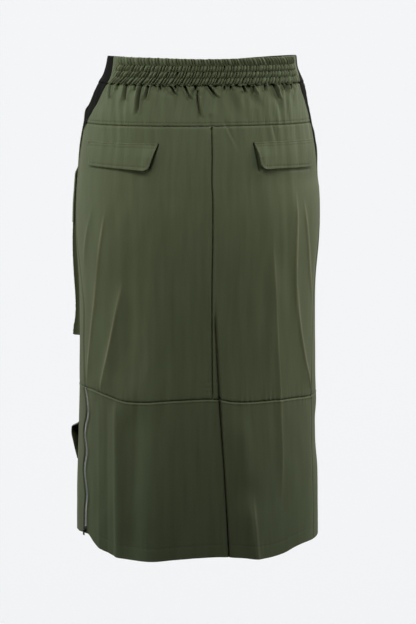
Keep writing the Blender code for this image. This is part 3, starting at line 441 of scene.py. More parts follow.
# -------------------- the form
@dataclass(frozen=True)
class Form:
    """The shape on the wearer that every cloth piece lies on."""
    band_top: float = 0.021
    band_bottom: float = -0.021
    front_dip: float = 0.014
    back_dip: float = 0.002
    yoke_seam: float = -0.083
    centre_seam: float = -3.8  # its angle
    edge: float = 0.001  # overlap of neighbours' relief
    yoke_relief: float = 0.060  # how far below the band the yoke is gathered

    gather_first: float = 69.5  # angles between which the elastic gathers
    gather_last: float = -71.0
    gather_count: int = 56
    gather_depth: float = 0.0082
    puff: float = 0.0034  # how far the ridges between them swell
    tiers: tuple[float, ...] = (0.0, 0.30, 0.52, 0.74, 1.0)  # shares of the band, at its stitch rows
    tier_lean: tuple[float, ...] = (2.2, -1.0, -1.7, -2.4)  # degrees
    tier_turn: tuple[float, ...] = (0.0, 0.12, 0.58, 0.70)  # shares of a gather
    ripple_depth: float = 0.0024  # the gathers just under the band
    ripple_reach: float = 0.0070

    overlap_top: float = -0.345
    overlap_full: float = -0.700
    mouth_top_left: float = 103.0
    mouth_top_right: float = 257.0
    mouth_end: float = -0.170
    mouth_right_share: float = 0.15  # of the left mouth's stand
    mouth_reach: float = 0.022

    sharp: float = 0.0026  # ridges up to this width get a painted highlight along their crests
    highlight_rise: float = 0.0020  # a ridge this high gets the painted highlight in full
    highlight_width: float = 0.0015
    highlight_length: float = 0.017  # of the painted highlight's paler and darker stretches

    slow_height: float = 0.00050  # heights of the drape's waves
    quick_height: float = 0.00022
    long_height: float = 0.00012
    rumple_height: float = 0.00170
    fine_height: float = 0.00030
    rumple_reach: float = 0.055  # how far they run below the waistband

    def ring(self, angle: Field, height: Field) -> tuple[Field, Field]:
        """Point of the form's plain ring, before folds, as two arrays.

        Args:
            angle: Angles of the places.
            height: Their heights.

        Returns:
            The points' x and y.
        """
        half_width, behind, ahead, shift, square = read(RINGS, height)
        sine, cosine = np.sin(np.radians(angle)), np.cos(np.radians(angle))
        depth = np.where(cosine > 0, behind, ahead)
        radius = ((np.abs(sine) / half_width) ** square + (np.abs(cosine) / depth) ** square) ** (-1 / square)
        return radius * sine + shift, radius * cosine

    def step(self, angle: Field, height: Field) -> tuple[Field, Field]:
        """Step that one degree makes on the plain ring, as two arrays."""
        left, right = self.ring(angle + 0.5, height), self.ring(angle - 0.5, height)
        return left[0] - right[0], left[1] - right[1]

    def degree(self, angle: Field, height: Field) -> Field:
        """Metres of cloth in one degree of the plain ring."""
        return np.hypot(*self.step(angle, height))

    def moved(self, angle: Field, height: Field, distance: Field) -> Field:
        """Angles a given distance further towards the wearer's left."""
        return angle + distance / self.degree(angle, height)

    @staticmethod
    def beside(fold: Fold, angle: Field, height: Field, degree: Field) -> tuple[Field, Field]:
        """Distance from a fold's line, and the fold's strength from 0 to 1.

        Args:
            fold: The fold.
            angle: Angles of the places.
            height: Their heights.
            degree: Metres of cloth in a degree.

        Returns:
            The distances and the strengths.
        """
        part = np.clip((fold.top - height) / (fold.top - fold.bottom), 0.0, 1.0)
        line = (fold.at_top * (1 - part) * (1 - 2 * part) + fold.at_middle * 4 * part * (1 - part)
                + fold.at_bottom * part * (2 * part - 1))
        strength = (smoothstep((fold.top - height) / fold.fade_in)
                    * smoothstep((height - fold.bottom) / fold.fade_out))
        return wrapped(angle - line) * degree, strength

    def fold_out(self, folds: Sequence[Fold], angle: Field, height: Field, degree: Field) -> Field:
        """How far the listed folds carry the cloth outwards.

        Args:
            folds: The folds.
            angle: Angles of the places.
            height: Their heights.
            degree: Metres of cloth in a degree.

        Returns:
            Distances outwards.
        """
        total = np.zeros_like(angle)
        for fold in folds:
            distance, strength = self.beside(fold, angle, height, degree)
            total += fold.rise * strength * crest_shape(distance, fold.width, fold.crest)
        return total

    def painted_crest_highlight(self, angle: Field, height: Field, degree: Field) -> Field:
        """How much painted highlight the crests of the sharp ridges get, from 0 to 1.

        Args:
            angle: Angles of the places.
            height: Their heights.
            degree: Metres of cloth in a degree.

        Returns:
            The shares.
        """
        # painted highlight: a share that pales the crests of the thin ridges
        share = np.zeros_like(angle)
        for fold in CREASES:
            if 0.0 < fold.rise and fold.width <= self.sharp:
                distance, strength = self.beside(fold, angle, height, degree)
                patchy = 0.75 + 0.25 * np.sin(height / self.highlight_length + fold.at_top)
                pale = min(fold.rise / self.highlight_rise, 1.0) * patchy * strength
                share = np.maximum(share, pale * near(distance, self.highlight_width))
        return share

    def yoke_gathers(self, angle: Field, height: Field, degree: Field) -> Field:
        """How far the gathers under the waistband carry the yoke in and out, each with a lip beside it.

        Args:
            angle: Angles of the places.
            height: Their heights.
            degree: Metres of cloth in a degree.

        Returns:
            Distances outwards.
        """
        total = np.zeros_like(angle)
        under = height <= self.band_bottom + self.edge
        for gather in GATHERS:
            part = np.clip((self.band_bottom - height) / (self.band_bottom - gather.end), 0.0, 1.0)
            distance = wrapped(angle - blend(gather.at_top, gather.at_end, part)) * degree
            width = gather.width * (1.0 + 0.9 * part)
            strength = gather.depth * (1.0 - smoothstep(part)) ** 0.7
            trough = -crest_shape(distance, width, width * 0.5)
            lip = 0.45 * crest_shape(distance + 1.6 * width, width, width * 0.6)
            total += np.where(under & (height > gather.end), strength * (trough + lip), 0.0)
        fade = np.exp(-np.maximum(self.band_bottom - height, 0.0) / self.ripple_reach)
        ripple = self.gather_trough(angle, np.full_like(angle, len(self.tier_lean) - 0.001), 1.0)[0]
        return total - np.where(under, self.ripple_depth * fade * ripple, 0.0)

    @staticmethod
    def pinches(angle: Field, height: Field, degree: Field) -> Field:
        """How far the sharp creases carry the yoke in and out: narrow troughs between two lips.

        Args:
            angle: Angles of the places.
            height: Their heights.
            degree: Metres of cloth in a degree.

        Returns:
            Distances outwards.
        """
        total = np.zeros_like(angle)
        for pinch in PINCHES:
            part = (pinch.top - height) / (pinch.top - pinch.end)
            inside = (part > -0.2) & (part < 1.0)
            part = np.clip(part, 0.0, 1.0)
            distance = np.abs(wrapped(angle - blend(pinch.at_top, pinch.at_end, part)) * degree)
            width = pinch.width * (1.0 + 0.3 * part)
            strength = pinch.depth * (1.0 - part ** 2) * smoothstep(part / 0.25 + 0.35)
            lips = 0.28 * near(distance - 2.6 * width, 1.7 * width)
            total += np.where(inside, strength * (lips - near(distance, width, 3)), 0.0)
        return total

    def gather_trough(self, angle: Field, down: Field, inside: Field) -> tuple[Field, Field]:
        """The elastic's gathers at places of the waistband.

        Args:
            angle: Angles of the places.
            down: How far down the waistband they are, in tiers.
            inside: How far down their tier they are, from 0 to 1.

        Returns:
            The trough's share, from 0 on a ridge to 1, and the ends' fade.
        """
        turned = wrapped(angle)
        tier = np.clip(np.floor(down), 0, len(self.tier_lean) - 1).astype(int)
        lean, turn = np.array(self.tier_lean)[tier], np.array(self.tier_turn)[tier]
        pitch = (self.gather_first - self.gather_last) / self.gather_count
        count = (self.gather_first - turned - lean * (inside - 0.5)) / pitch + turn
        wander = 0.15 * np.sin(1.73 * count + 1.9 * tier) + 0.10 * np.sin(3.9 * count + 0.7 * tier)
        trough = 1.0 - np.abs(np.sin(math.pi * (count + wander))) ** 0.65
        trough *= 0.80 + 0.26 * np.sin(2.3 * count + 2.2 * tier)
        ends = smoothstep((turned - self.gather_last + 6.0) / 6.0)
        ends = ends * smoothstep((self.gather_first + 6.0 - turned) / 9.0)
        return trough * ends, ends

    def band_gathers(self, angle: Field, height: Field) -> Field:
        """How far the elastic's gathers carry the back waistband in and out.

        Args:
            angle: Angles of the places.
            height: Their heights.

        Returns:
            Distances outwards.
        """
        share = (self.band_top - height) / (self.band_top - self.band_bottom)
        down = np.interp(share, self.tiers, np.arange(len(self.tiers)))
        inside = np.clip(down - np.clip(np.floor(down), 0, len(self.tier_lean) - 1), 0.0, 1.0)
        swell = np.sin(math.pi * inside) ** 0.6
        trough, ends = self.gather_trough(angle, down, inside)
        return ends * self.puff * swell * (1.0 - trough) - self.gather_depth * trough * (0.40 + 0.60 * swell)

    def overlap_shift(self, angle: Field, height: Field, degree: Field) -> tuple[Field, Field]:
        """How far the overlapping fold carries the cloth to the wearer's left, and outwards.

        Args:
            angle: Angles of the places.
            height: Their heights.
            degree: Metres of cloth in a degree.

        Returns:
            Distances to the left, and outwards.
        """
        place = wrapped(angle - read(OVERLAP_LINE, height)[0]) * degree
        inside = (place > OVERLAP[0].place) & (place < OVERLAP[-1].place) & (height < self.overlap_top)
        slide, out = read(OVERLAP, place)
        run = (self.overlap_top - height) / (self.overlap_top - self.overlap_full)
        strength = np.where(inside, smoothstep(run) ** 0.6, 0.0)
        return slide * strength, out * strength

    def drape(self, angle: Field, height: Field, degree: Field) -> Field:
        """Slow unevenness of hanging cloth, and the upright rumples under the waistband.

        Its waves are sines with lengths in millimetres, so that every run gives the same cloth.

        Args:
            angle: Angles of the points.
            height: Heights of the points.
            degree: Metres of cloth in one degree there.

        Returns:
            How far the waves carry the cloth outwards.
        """
        around, down = angle * degree * 1000.0, height * 1000.0
        slow = np.sin(around / 31.0 + 1.3 * np.sin(down / 57.0))
        slow = slow * np.sin(down / 83.0 + 0.9 * np.sin(around / 41.0))
        quick = np.sin(around / 9.0 + 2.1 * np.sin(down / 37.0) + down / 67.0)
        quick = quick * np.sin(down / 29.0 + around / 53.0)
        long = np.sin(around / 6.3 + 1.1 * np.sin(down / 71.0) + 1.7 * np.sin(around / 23.0))
        long = long * (1.0 + np.sin(around / 19.0 + down / 97.0))
        wide = np.sin(around / 3.3 + 1.5 * np.sin(down / 23.0) + 0.7 * np.sin(around / 13.0))
        wide = wide * (0.55 + 0.45 * np.sin(around / 17.0 + down / 31.0))
        fine = np.sin(around / 1.9 + 1.4 * np.sin(down / 9.0 + around / 7.0))
        fine = fine * np.sin(around / 6.1 + down / 14.0)
        under = np.exp(-np.maximum(self.band_bottom - height, 0.0) / self.rumple_reach)
        under = under * (height <= self.band_bottom + self.edge)
        return (self.slow_height * slow + self.quick_height * quick + self.long_height * long
                + under * (self.rumple_height * wide + self.fine_height * fine))

    def skin(self, angle: Field, height: Field) -> Field:
        """Points of the cloth's outer face, with its folds.

        Args:
            angle: Angles of the points.
            height: Heights of the points.

        Returns:
            One row of three coordinates for each point.
        """
        x, y = self.ring(angle, height)
        across_x, across_y = self.step(angle, height)
        degree = np.hypot(across_x, across_y)
        across_x, across_y = across_x / degree, across_y / degree
        out = self.fold_out(FOLDS + CREASES, angle, height, degree) + self.drape(angle, height, degree)
        yoke = (height > self.band_bottom - self.yoke_relief) & (height <= self.band_bottom + self.edge)
        gathered = self.yoke_gathers(angle, height, degree) + self.pinches(angle, height, degree)
        out += np.where(yoke, gathered, 0.0)
        out += np.where(height > self.band_bottom, self.band_gathers(angle, height), 0.0)
        slide, overlap = self.overlap_shift(angle, height, degree)
        out = out + overlap
        x, y = x - across_y * out + across_x * slide, y + across_x * out + across_y * slide
        return np.stack([x, y, height], 1)

    def place(self, angle: Field, height: Field, lift: Field) -> Field:
        """Points that stand given distances outside the cloth's outer face, at the same heights.

        Args:
            angle: Angles of the places.
            height: Their heights.
            lift: Their distances from the form.

        Returns:
            The points, one to a row.
        """
        step = self.skin(angle + 0.15, height) - self.skin(angle - 0.15, height)
        length = np.hypot(step[:, 0], step[:, 1])
        points = self.skin(angle, height)
        points[:, 0] -= step[:, 1] / length * lift
        points[:, 1] += step[:, 0] / length * lift
        return points

    def front_share(self, angle: Field) -> Field:
        """0 on the whole back, rising to 1 at the middle of the front."""
        return smoothstep((np.abs(wrapped(angle)) - 80.0) / 100.0)

    def top_edge(self, angle: Field) -> Field:
        """Height of the waistband's upper edge."""
        dip = self.back_dip * (1.0 - smoothstep(np.abs(wrapped(angle)) / 60.0))
        return self.band_top - self.front_dip * self.front_share(angle) - dip

    def band_seam(self, angle: Field) -> Field:
        """Height of the seam under the waistband."""
        return self.band_bottom - self.front_dip * self.front_share(angle)

    def yoke_line(self, angle: Field) -> Field:
        """Height of the seam under the back yoke."""
        return np.full_like(angle, self.yoke_seam)

    @staticmethod
    def knee_line(angle: Field) -> Field:
        """Height of the seam between the panels and the lower tier."""
        return read(KNEE_SEAM, np.where(angle <= KNEE_SEAM[-1].angle, angle, angle - 360.0))[0]

    @staticmethod
    def hem_line(angle: Field) -> Field:
        """Height of the hem's edge."""
        return read(HEM, np.where(angle <= HEM[-1].angle, angle, angle - 360.0))[0]

    @staticmethod
    def left_seam(height: Field) -> Field:
        """Angle of the wearer's left side seam, which the zip follows below the knee seam."""
        return np.where(height < ZIP_LINE[0].height, read(ZIP_LINE, height)[0], read(LEFT_SEAM, height)[0])

    @staticmethod
    def right_seam(height: Field) -> Field:
        """Angle of the wearer's right side seam."""
        return read(RIGHT_SEAM, height)[0]

    def front_right_seam(self, height: Field) -> Field:
        """The right side seam's angle, counted on from the front."""
        return 360.0 + self.right_seam(height)

    def back_sides(self, height: Field) -> list[Field]:
        """Angles of a back piece's edges at the left and right side seams."""
        return [self.moved(self.left_seam(height), height, -SEAM_GAP / 2),
                self.moved(self.right_seam(height), height, SEAM_GAP / 2)]

    def mouth_share(self, height: Field) -> Field:
        """How much of its way from the side seam a pocket mouth has at a height: 1 at the waistband."""
        return smoothstep((height - self.mouth_end) / (self.band_bottom - self.mouth_end) / 1.15)

    def mouth_left(self, height: Field) -> Field:
        """Angle of the left hip pocket's mouth."""
        reach = self.mouth_top_left - self.left_seam(np.array(self.band_bottom))
        return self.left_seam(height) + reach * self.mouth_share(height)

    def mouth_right(self, height: Field) -> Field:
        """Angle of the right hip pocket's mouth."""
        reach = self.mouth_top_right - self.front_right_seam(np.array(self.band_bottom))
        return self.front_right_seam(height) + reach * self.mouth_share(height)

    def mouth_lift(self, angle: Field, height: Field) -> Field:
        """How far the front panel stands off beside its two pocket mouths.

        Args:
            angle: Angles of the places.
            height: Their heights.

        Returns:
            Distances outwards.
        """
        opening = np.where(height < self.mouth_end, 0.0, read(MOUTH_STAND, height)[0])
        degree = self.degree(angle, height)
        left, right = (near((angle - mouth(height)) * degree, self.mouth_reach)
                       for mouth in (self.mouth_left, self.mouth_right))
        return opening * (left + self.mouth_right_share * right)


FORM = Form()


class Pucker(NamedTuple):
    """Waves that a seam's thread draws into the cloth beside it."""
    seed: float  # shifts the waves, so that no two seams match
    pitch: float = 0.0075  # length of a wave
    reach: float = 0.0055  # distance over which the waves die out
    height: float = 0.00042

    def out(self, away: Field, along: Field) -> Field:
        """How far the waves carry the cloth outwards, at distances from the stitched line and along it.

        Args:
            away: Distances from the stitched line.
            along: Distances along it.

        Returns:
            Distances outwards.
        """
        turn = 2 * math.pi * along / self.pitch
        wave = np.sin(turn + 1.7 * np.sin(turn / 3.7 + self.seed) + self.seed)
        uneven = 0.6 + 0.4 * np.sin(turn / 5.3 + 2.0 * self.seed)
        return self.height * wave * uneven * near(away, self.reach, 1)


class Groove(NamedTuple):
    """The line that a row of stitches presses into the cloth."""
    depth: float = 0.00045
    width: float = 0.0011

    def out(self, away: Field) -> Field:
        """How far the groove carries the cloth outwards, which is less than 0."""
        return -self.depth * near(away, self.width)


class Roll(NamedTuple):
    """The turned edge of a piece, which dips into its seam."""
    depth: float = 0.0015
    width: float = 0.0012

    def out(self, away: Field) -> Field:
        """How far the roll carries the cloth outwards, which is less than 0."""
        return -self.depth * near(np.maximum(away, 0.0), self.width, 1)


class Ridge(NamedTuple):
    """A low ridge that runs beside a seam, where its allowances lie under the cloth."""
    place: float  # distance from the seam
    width: float
    height: float

    def out(self, away: Field) -> Field:
        """How far the ridge carries the cloth outwards."""
        return self.height * near(away - self.place, self.width)


# -------------------- finishes
WAVE_BANDS = 20.0  # bands that a wave texture draws in one unit at a scale of 1


def linear(code: str) -> tuple[float, float, float, float]:
    """Turn an sRGB hex colour into linear light.

    Args:
        code: Six hex digits after a hash sign.

    Returns:
        Red, green, blue and an alpha of 1.
    """
    shares = [int(code[place:place + 2], 16) / 255 for place in (1, 3, 5)]
    red, green, blue = (share / 12.92 if share <= 0.04045 else ((share + 0.055) / 1.055) ** 2.4
                        for share in shares)
    return red, green, blue, 1.0


def feed(tree: bpy.types.NodeTree, node: bpy.types.Node, inputs: dict[str | int, object]) -> None:
    """Give a node's sockets their values and links.

    Args:
        tree: The tree that the node is in.
        node: The node.
        inputs: For each socket, a value or the output that feeds it.
    """
    for name, value in inputs.items():
        if isinstance(value, bpy.types.NodeSocket):
            tree.links.new(value, node.inputs[name])
        else:
            node.inputs[name].default_value = value


def add_node(tree: bpy.types.NodeTree, kind: str, inputs: dict[str | int, object], output: str | int = 0,
             **settings: object) -> bpy.types.NodeSocket:
    """Add a shader node with its settings, values and links.

    Args:
        tree: The tree that it joins.
        kind: Blender's name for the kind of node, after ShaderNode.
        inputs: For each socket, a value or the output that feeds it.
        output: The output that is wanted.
        settings: Properties of the node.

    Returns:
        That output of the new node.
    """
    node = tree.nodes.new("ShaderNode" + kind)
    for name, value in settings.items():
        setattr(node, name, value)
    feed(tree, node, inputs)
    return node.outputs[output]


@dataclass(frozen=True)
class Surface:
    """What every finish has: a name, a colour, and nodes that feed a Principled BSDF."""
    name: str
    colour: str

    def sockets(self, tree: bpy.types.NodeTree) -> dict[str, object]:
        """The shader's sockets, each with what feeds it."""
        return {"Base Color": linear(self.colour)}

    def material(self) -> bpy.types.Material:
        """Make the finish's material.

        Returns:
            The new material.
        """
        material = bpy.data.materials.new(self.name)
        material.use_nodes = True
        tree = material.node_tree
        feed(tree, tree.nodes["Principled BSDF"], self.sockets(tree))
        return material


@dataclass(frozen=True)
class WovenCloth(Surface):
    """A fine plain-woven cotton and nylon cloth, pressed smooth, so that it has a slight sheen at the sides.

    The map is in metres of cloth. Threads of such cloth are 0.25 mm apart, too fine to show from
    where the camera stands, so they are drawn at thread_mm. The crests of sharp folds get a painted
    highlight: a paler colour, in patches, which draws thin light lines down the dark cloth.
    """
    light_colour: str
    rough: float = 0.62
    sheen: float = 0.30
    sheen_rough: float = 0.45
    sheen_colour: str = "#c9b79a"
    specular: float = 0.30
    thread_mm: float = 0.9
    slub_mm: float = 14.0
    slub_stretch: float = 10.0  # how many times longer than wide a slub is
    bump_mm: float = 0.030
    crest_highlight_colour: str | None = None

    def sockets(self, tree: bpy.types.NodeTree) -> dict[str, object]:
        """Weave and slubs on the piece's own cloth map, and a painted highlight along the sharp crests.

        Args:
            tree: The tree that gets the nodes.

        Returns:
            The shader's sockets, each with what feeds it.
        """
        place = add_node(tree, "UVMap", {}, "UV", uv_map=CLOTH_UV)
        turns = 1000.0 / self.thread_mm
        threads = {"Vector": place, "Scale": turns / WAVE_BANDS, "Distortion": 0.6, "Detail Scale": 3.0}
        warp, weft = (add_node(tree, "TexWave", threads, "Fac", bands_direction=axis) for axis in ("X", "Y"))
        weave = add_node(tree, "Math", {0: warp, 1: weft}, operation="ADD")
        stretched = add_node(tree, "Mapping", {"Vector": place, "Scale": (1.0, 1.0 / self.slub_stretch, 1.0)})
        slub = {"Vector": stretched, "Scale": 1000.0 / self.slub_mm, "Detail": 4.0, "Roughness": 0.55}
        slub = add_node(tree, "TexNoise", slub, "Fac")
        grain = add_node(tree, "TexNoise", {"Vector": place, "Scale": turns * 0.8, "Detail": 2.0}, "Fac")
        mixed = add_node(tree, "Math", {0: slub, 1: 0.65, 2: grain}, operation="MULTIPLY_ADD")
        share = add_node(tree, "MapRange", {"Value": mixed, "From Min": 0.55, "From Max": 1.10})
        tint = {"Factor": share, "A": linear(self.colour), "B": linear(self.light_colour)}
        tint = add_node(tree, "Mix", tint, "Result", data_type="RGBA")
        # painted highlight: the crests of the sharp ridges are mixed towards a paler colour
        if self.crest_highlight_colour:
            painted_crest_highlight = add_node(tree, "Attribute", {}, "Fac", attribute_name=PAINTED_CREST_HIGHLIGHT)
            patchy = add_node(tree, "MapRange", {"Value": slub, "To Min": 0.7})
            highlight_share = add_node(tree, "Math", {0: painted_crest_highlight, 1: patchy}, operation="MULTIPLY")
            tint = {"Factor": highlight_share, "A": tint, "B": linear(self.crest_highlight_colour)}
            tint = add_node(tree, "Mix", tint, "Result", data_type="RGBA")
        gloss = {"Value": slub, "To Min": self.rough - 0.06, "To Max": self.rough + 0.06}
        relief = {"Height": weave, "Strength": 0.35, "Distance": self.bump_mm / 1000.0}
        return {"Base Color": tint, "Roughness": add_node(tree, "MapRange", gloss),
                "Normal": add_node(tree, "Bump", relief), "Sheen Weight": self.sheen,
                "Sheen Roughness": self.sheen_rough, "Sheen Tint": linear(self.sheen_colour),
                "Specular IOR Level": self.specular}


@dataclass(frozen=True)
class SewingThread(Surface):
    """Spun polyester sewing thread: round, matt, with a fine twist that breaks up its light."""
    shade_colour: str = "#20241b"
    rough: float = 0.7
    twist_mm: float = 0.6

    def sockets(self, tree: bpy.types.NodeTree) -> dict[str, object]:
        """The twist's light and dark, on object coordinates.

        Args:
            tree: The tree that gets the nodes.

        Returns:
            The shader's sockets, each with what feeds it.
        """
        place = add_node(tree, "TexCoord", {}, "Object")
        twist = {"Vector": place, "Scale": 1000.0 / self.twist_mm, "Detail": 1.0}
        twist = add_node(tree, "TexNoise", twist, "Fac")
        tint = {"Factor": twist, "A": linear(self.shade_colour), "B": linear(self.colour)}
        tint = add_node(tree, "Mix", tint, "Result", data_type="RGBA")
        return {"Base Color": tint, "Roughness": self.rough}


@dataclass(frozen=True)
class ZipMetal(Surface):
    """Nickel-plated brass, stamped and tumbled: bright edges, and fine marks that soften its gloss."""
    rough: float = 0.30
    mark_mm: float = 0.5
    mark_depth: float = 0.00004

    def sockets(self, tree: bpy.types.NodeTree) -> dict[str, object]:
        """The tumbling marks, on object coordinates.

        Args:
            tree: The tree that gets the nodes.

        Returns:
            The shader's sockets, each with what feeds it.
        """
        place = add_node(tree, "TexCoord", {}, "Object")
        marks = {"Vector": place, "Scale": 1000.0 / self.mark_mm, "Detail": 3.0}
        marks = add_node(tree, "TexNoise", marks, "Fac")
        rough = {"Value": marks, "To Min": self.rough - 0.08, "To Max": self.rough + 0.12}
        bump = add_node(tree, "Bump", {"Height": marks, "Strength": 0.2, "Distance": self.mark_depth})
        return {**super().sockets(tree), "Roughness": add_node(tree, "MapRange", rough), "Normal": bump,
                "Metallic": 1.0}


@dataclass(frozen=True)
class StudioPaper(Surface):
    """Matt white studio paper, seamless, with a faint tooth."""
    rough: float = 0.9
    tooth_mm: float = 10.0 / 3.0
    tooth_depth: float = 0.0001

    def sockets(self, tree: bpy.types.NodeTree) -> dict[str, object]:
        """The paper's tooth, on object coordinates.

        Args:
            tree: The tree that gets the nodes.

        Returns:
            The shader's sockets, each with what feeds it.
        """
        place = add_node(tree, "TexCoord", {}, "Object")
        tooth = add_node(tree, "TexNoise", {"Vector": place, "Scale": 1000.0 / self.tooth_mm}, "Fac")
        bump = add_node(tree, "Bump", {"Height": tooth, "Strength": 0.05, "Distance": self.tooth_depth})
        return {**super().sockets(tree), "Roughness": self.rough, "Normal": bump}


class Finish(Enum):
    """The finishes of the skirt's pieces."""
    # the olive cloth's last colour is a painted highlight, mixed in along the crests of the sharp ridges
    OLIVE = WovenCloth("olive_poplin", "#38402f", "#454f3d", specular=0.12, sheen=0.12,
                       sheen_colour="#e6e4c4", crest_highlight_colour="#6b6958")
    # near-black as painted shade: it stands in for the shade on the hip pocket facings and the front
    # waistband's ends
    POCKETING_PAINTED_SHADE = WovenCloth("pocketing_painted_shade_black", "#080808", "#0e0e0d", sheen=0.0, rough=0.9, specular=0.06)
    TAPE = WovenCloth("zip_tape", "#33382c", "#3c4234", sheen=0.05, thread_mm=0.7)
    THREAD = SewingThread("olive_thread", "#4a503d")
    METAL = ZipMetal("nickel_plated_zip", "#a9adb4", rough=0.40)
    # darker metal as painted shade: the slider and its pull sit in the shade at the hem
    DARK_METAL = ZipMetal("slider_metal_painted_shade", "#4c4f50", rough=0.38)
    PAPER = StudioPaper("white_paper", "#fefefe")
    CARD = StudioPaper("black_card", "#101010")

    def dress(self, piece: bpy.types.Object) -> None:
        """Give a piece this finish.

        Args:
            piece: The object whose material slots it takes.
        """
        material = bpy.data.materials.get(self.value.name) or self.value.material()
        piece.data.materials.clear()
        piece.data.materials.append(material)


class Slot(Enum):
    """The record's material slots."""
    CLOTH = "olive_cloth"
    POCKETING_PAINTED_SHADE = "pocketing"
    METAL = "zip_metal"


class Held(Enum):
    """How a cloth piece is held."""
    GATHERED = "gathered"
    HUNG = "hung"
    LAID = "laid"
    STRETCHED = "stretched"


# -------------------- making pieces
def mesh_of(name: str, builder: bmesh.types.BMesh) -> bpy.types.Mesh:
    """Turn a finished builder into a mesh, and free it.

    Args:
        name: Its name.
        builder: The finished builder.

    Returns:
        The mesh.
    """
    mesh = bpy.data.meshes.new(name)
    builder.to_mesh(mesh)
    builder.free()
    return mesh


def add_object(name: str, data: bpy.types.ID) -> bpy.types.Object:
    """Add an object to the scene: a mesh, light or camera.

    Args:
        name: Its name.
        data: What the object shows.

    Returns:
        The new object.
    """
    added = bpy.data.objects.new(name, data)
    bpy.context.collection.objects.link(added)
    return added


def stood(place: Vector, axes: Sequence[Vector], sizes: Sequence[float]) -> Matrix:
    """Matrix that puts a shape at a place, along three axes, at three sizes."""
    turn = Matrix(axes).transposed().to_4x4()
    return Matrix.Translation(place) @ turn @ Matrix.Diagonal((*sizes, 1.0))


def add_piece(name: str, mesh: bpy.types.Mesh, finish: Finish, slot: Slot,
              replaced: Sequence[str] = ()) -> bpy.types.Object:
    """Link a mesh as a piece that rides on the skirt.

    Args:
        name: Name of the piece.
        mesh: Its finished mesh, in its place.
        finish: What it is made of.
        slot: The record's slot that its finish comes from; not used.
        replaced: The solids that it stands for.

    Returns:
        The new object.
    """
    piece = add_object(name, mesh)
    finish.dress(piece)
    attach(piece, BODY)
    if replaced:
        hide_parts(*replaced)
    LOG.info("%s: %d faces", name, len(mesh.polygons))
    return piece


class Cut(NamedTuple):
    """How a piece of cloth is cut and held, and how fine its grid is."""
    flat: Size
    columns: tuple[int, ...]  # grid columns between each two of its main columns
    rows: int
    held: Held = Held.HUNG
    thickness: float = 0.0009
    area: float | None = None  # where the piece isn't a rectangle
    finish: Finish = Finish.OLIVE
    slot: Slot = Slot.CLOTH


def map_cloth(mesh: bpy.types.Mesh, angle: Field, height: Field, outer: bool) -> None:
    """Write a sheet's cloth map, and how much painted highlight the crests of the outer cloth get.

    Args:
        mesh: The sheet's mesh.
        angle: Angles of its vertices.
        height: Heights of its vertices.
        outer: Whether it is of the outer cloth.
    """
    around = -angle * FORM.degree(*(np.full_like(angle, value) for value in MAP_PLACE))
    corners = np.empty(len(mesh.loops), int)
    mesh.loops.foreach_get("vertex_index", corners)
    layer = mesh.uv_layers.new(name=CLOTH_UV)
    layer.data.foreach_set("uv", np.stack([around, height], 1)[corners].ravel())
    if outer:
        # painted highlight along the sharp crests, kept as an attribute for the material
        painted_crest_highlight = mesh.attributes.new(PAINTED_CREST_HIGHLIGHT, "FLOAT", "POINT")
        painted_crest_highlight.data.foreach_set("value", FORM.painted_crest_highlight(angle, height, FORM.degree(angle, height)))


def lay_cloth(name: str, cut: Cut, spot: Spot, *replaced: str) -> None:
    """Args:
        name: Name of the piece.
        cut: How it is cut and held.
        spot: Where its grid points go.
        replaced: The solids that it stands for.
    """
    builder = bmesh.new()
    bmesh.ops.create_grid(builder, x_segments=sum(cut.columns), y_segments=cut.rows, size=0.5)
    mesh = mesh_of(name, builder)
    flat = np.empty(len(mesh.vertices) * 3)
    mesh.vertices.foreach_get("co", flat)
    flat = flat.reshape(-1, 3)
    angle, height, lift = spot(flat[:, 0] + 0.5, 0.5 - flat[:, 1])
    mesh.vertices.foreach_set("co", FORM.place(angle, height, lift).ravel())
    map_cloth(mesh, angle, height, cut.finish is Finish.OLIVE)
    mesh.update()
    mesh.shade_smooth()
    piece = add_piece(name, mesh, cut.finish, cut.slot, replaced)
    wall = piece.modifiers.new("thickness", "SOLIDIFY")
    wall.thickness = cut.thickness
    wall.offset = -1.0
    wall.use_quality_normals = False


def lay_panel(node: str, cut: Cut, stops: Stops, top: Course, bottom: Course, relief: Relief,
              crowding: float = 1.9, tuck: float = 0.003) -> None:
    """Lay a panel between two seams that run round the skirt.

    Args:
        node: The solid that it stands for.
        cut: How it is cut and held.
        stops: Angles of its main columns at a height, greatest angle first.
        top: Height of the upper seam at an angle.
        bottom: Height of the lower seam at an angle.
        relief: How far it stands off the form at an angle and a height.
        crowding: How much its rows crowd at the two seams.
        tuck: How far its upper edge is turned up behind the piece above it.
    """
    ends = np.concatenate([[0], np.cumsum(cut.columns)])

    def spot(across: Field, down: Field) -> Place:
        """Place of a grid point.

        Args:
            across: Shares of the width.
            down: Shares of the drop.

        Returns:
            Angles, heights and lifts of the points.
        """
        place = across * ends[-1]
        first = np.clip(np.searchsorted(ends, place, side="right") - 1, 0, len(cut.columns) - 1)
        part = (place - ends[first]) / (ends[first + 1] - ends[first])
        drop = crowd_ends(down, crowding)
        height = np.full_like(across, MAP_PLACE[1])
        each = np.arange(len(across))
        for _ in range(SETTLING_ROUNDS):
            main = np.stack(stops(height))
            angle = main[first, each] * (1 - part) + main[first + 1, each] * part
            height = blend(top(angle) + tuck, bottom(angle) + SEAM_GAP / 2, drop)
        lift = relief(angle, height)
        if tuck > 0.0:
            lift = lift - turned_in(height - top(angle))
        return angle, height, lift

    lay_cloth(f"{node}_cloth", cut, spot, node)


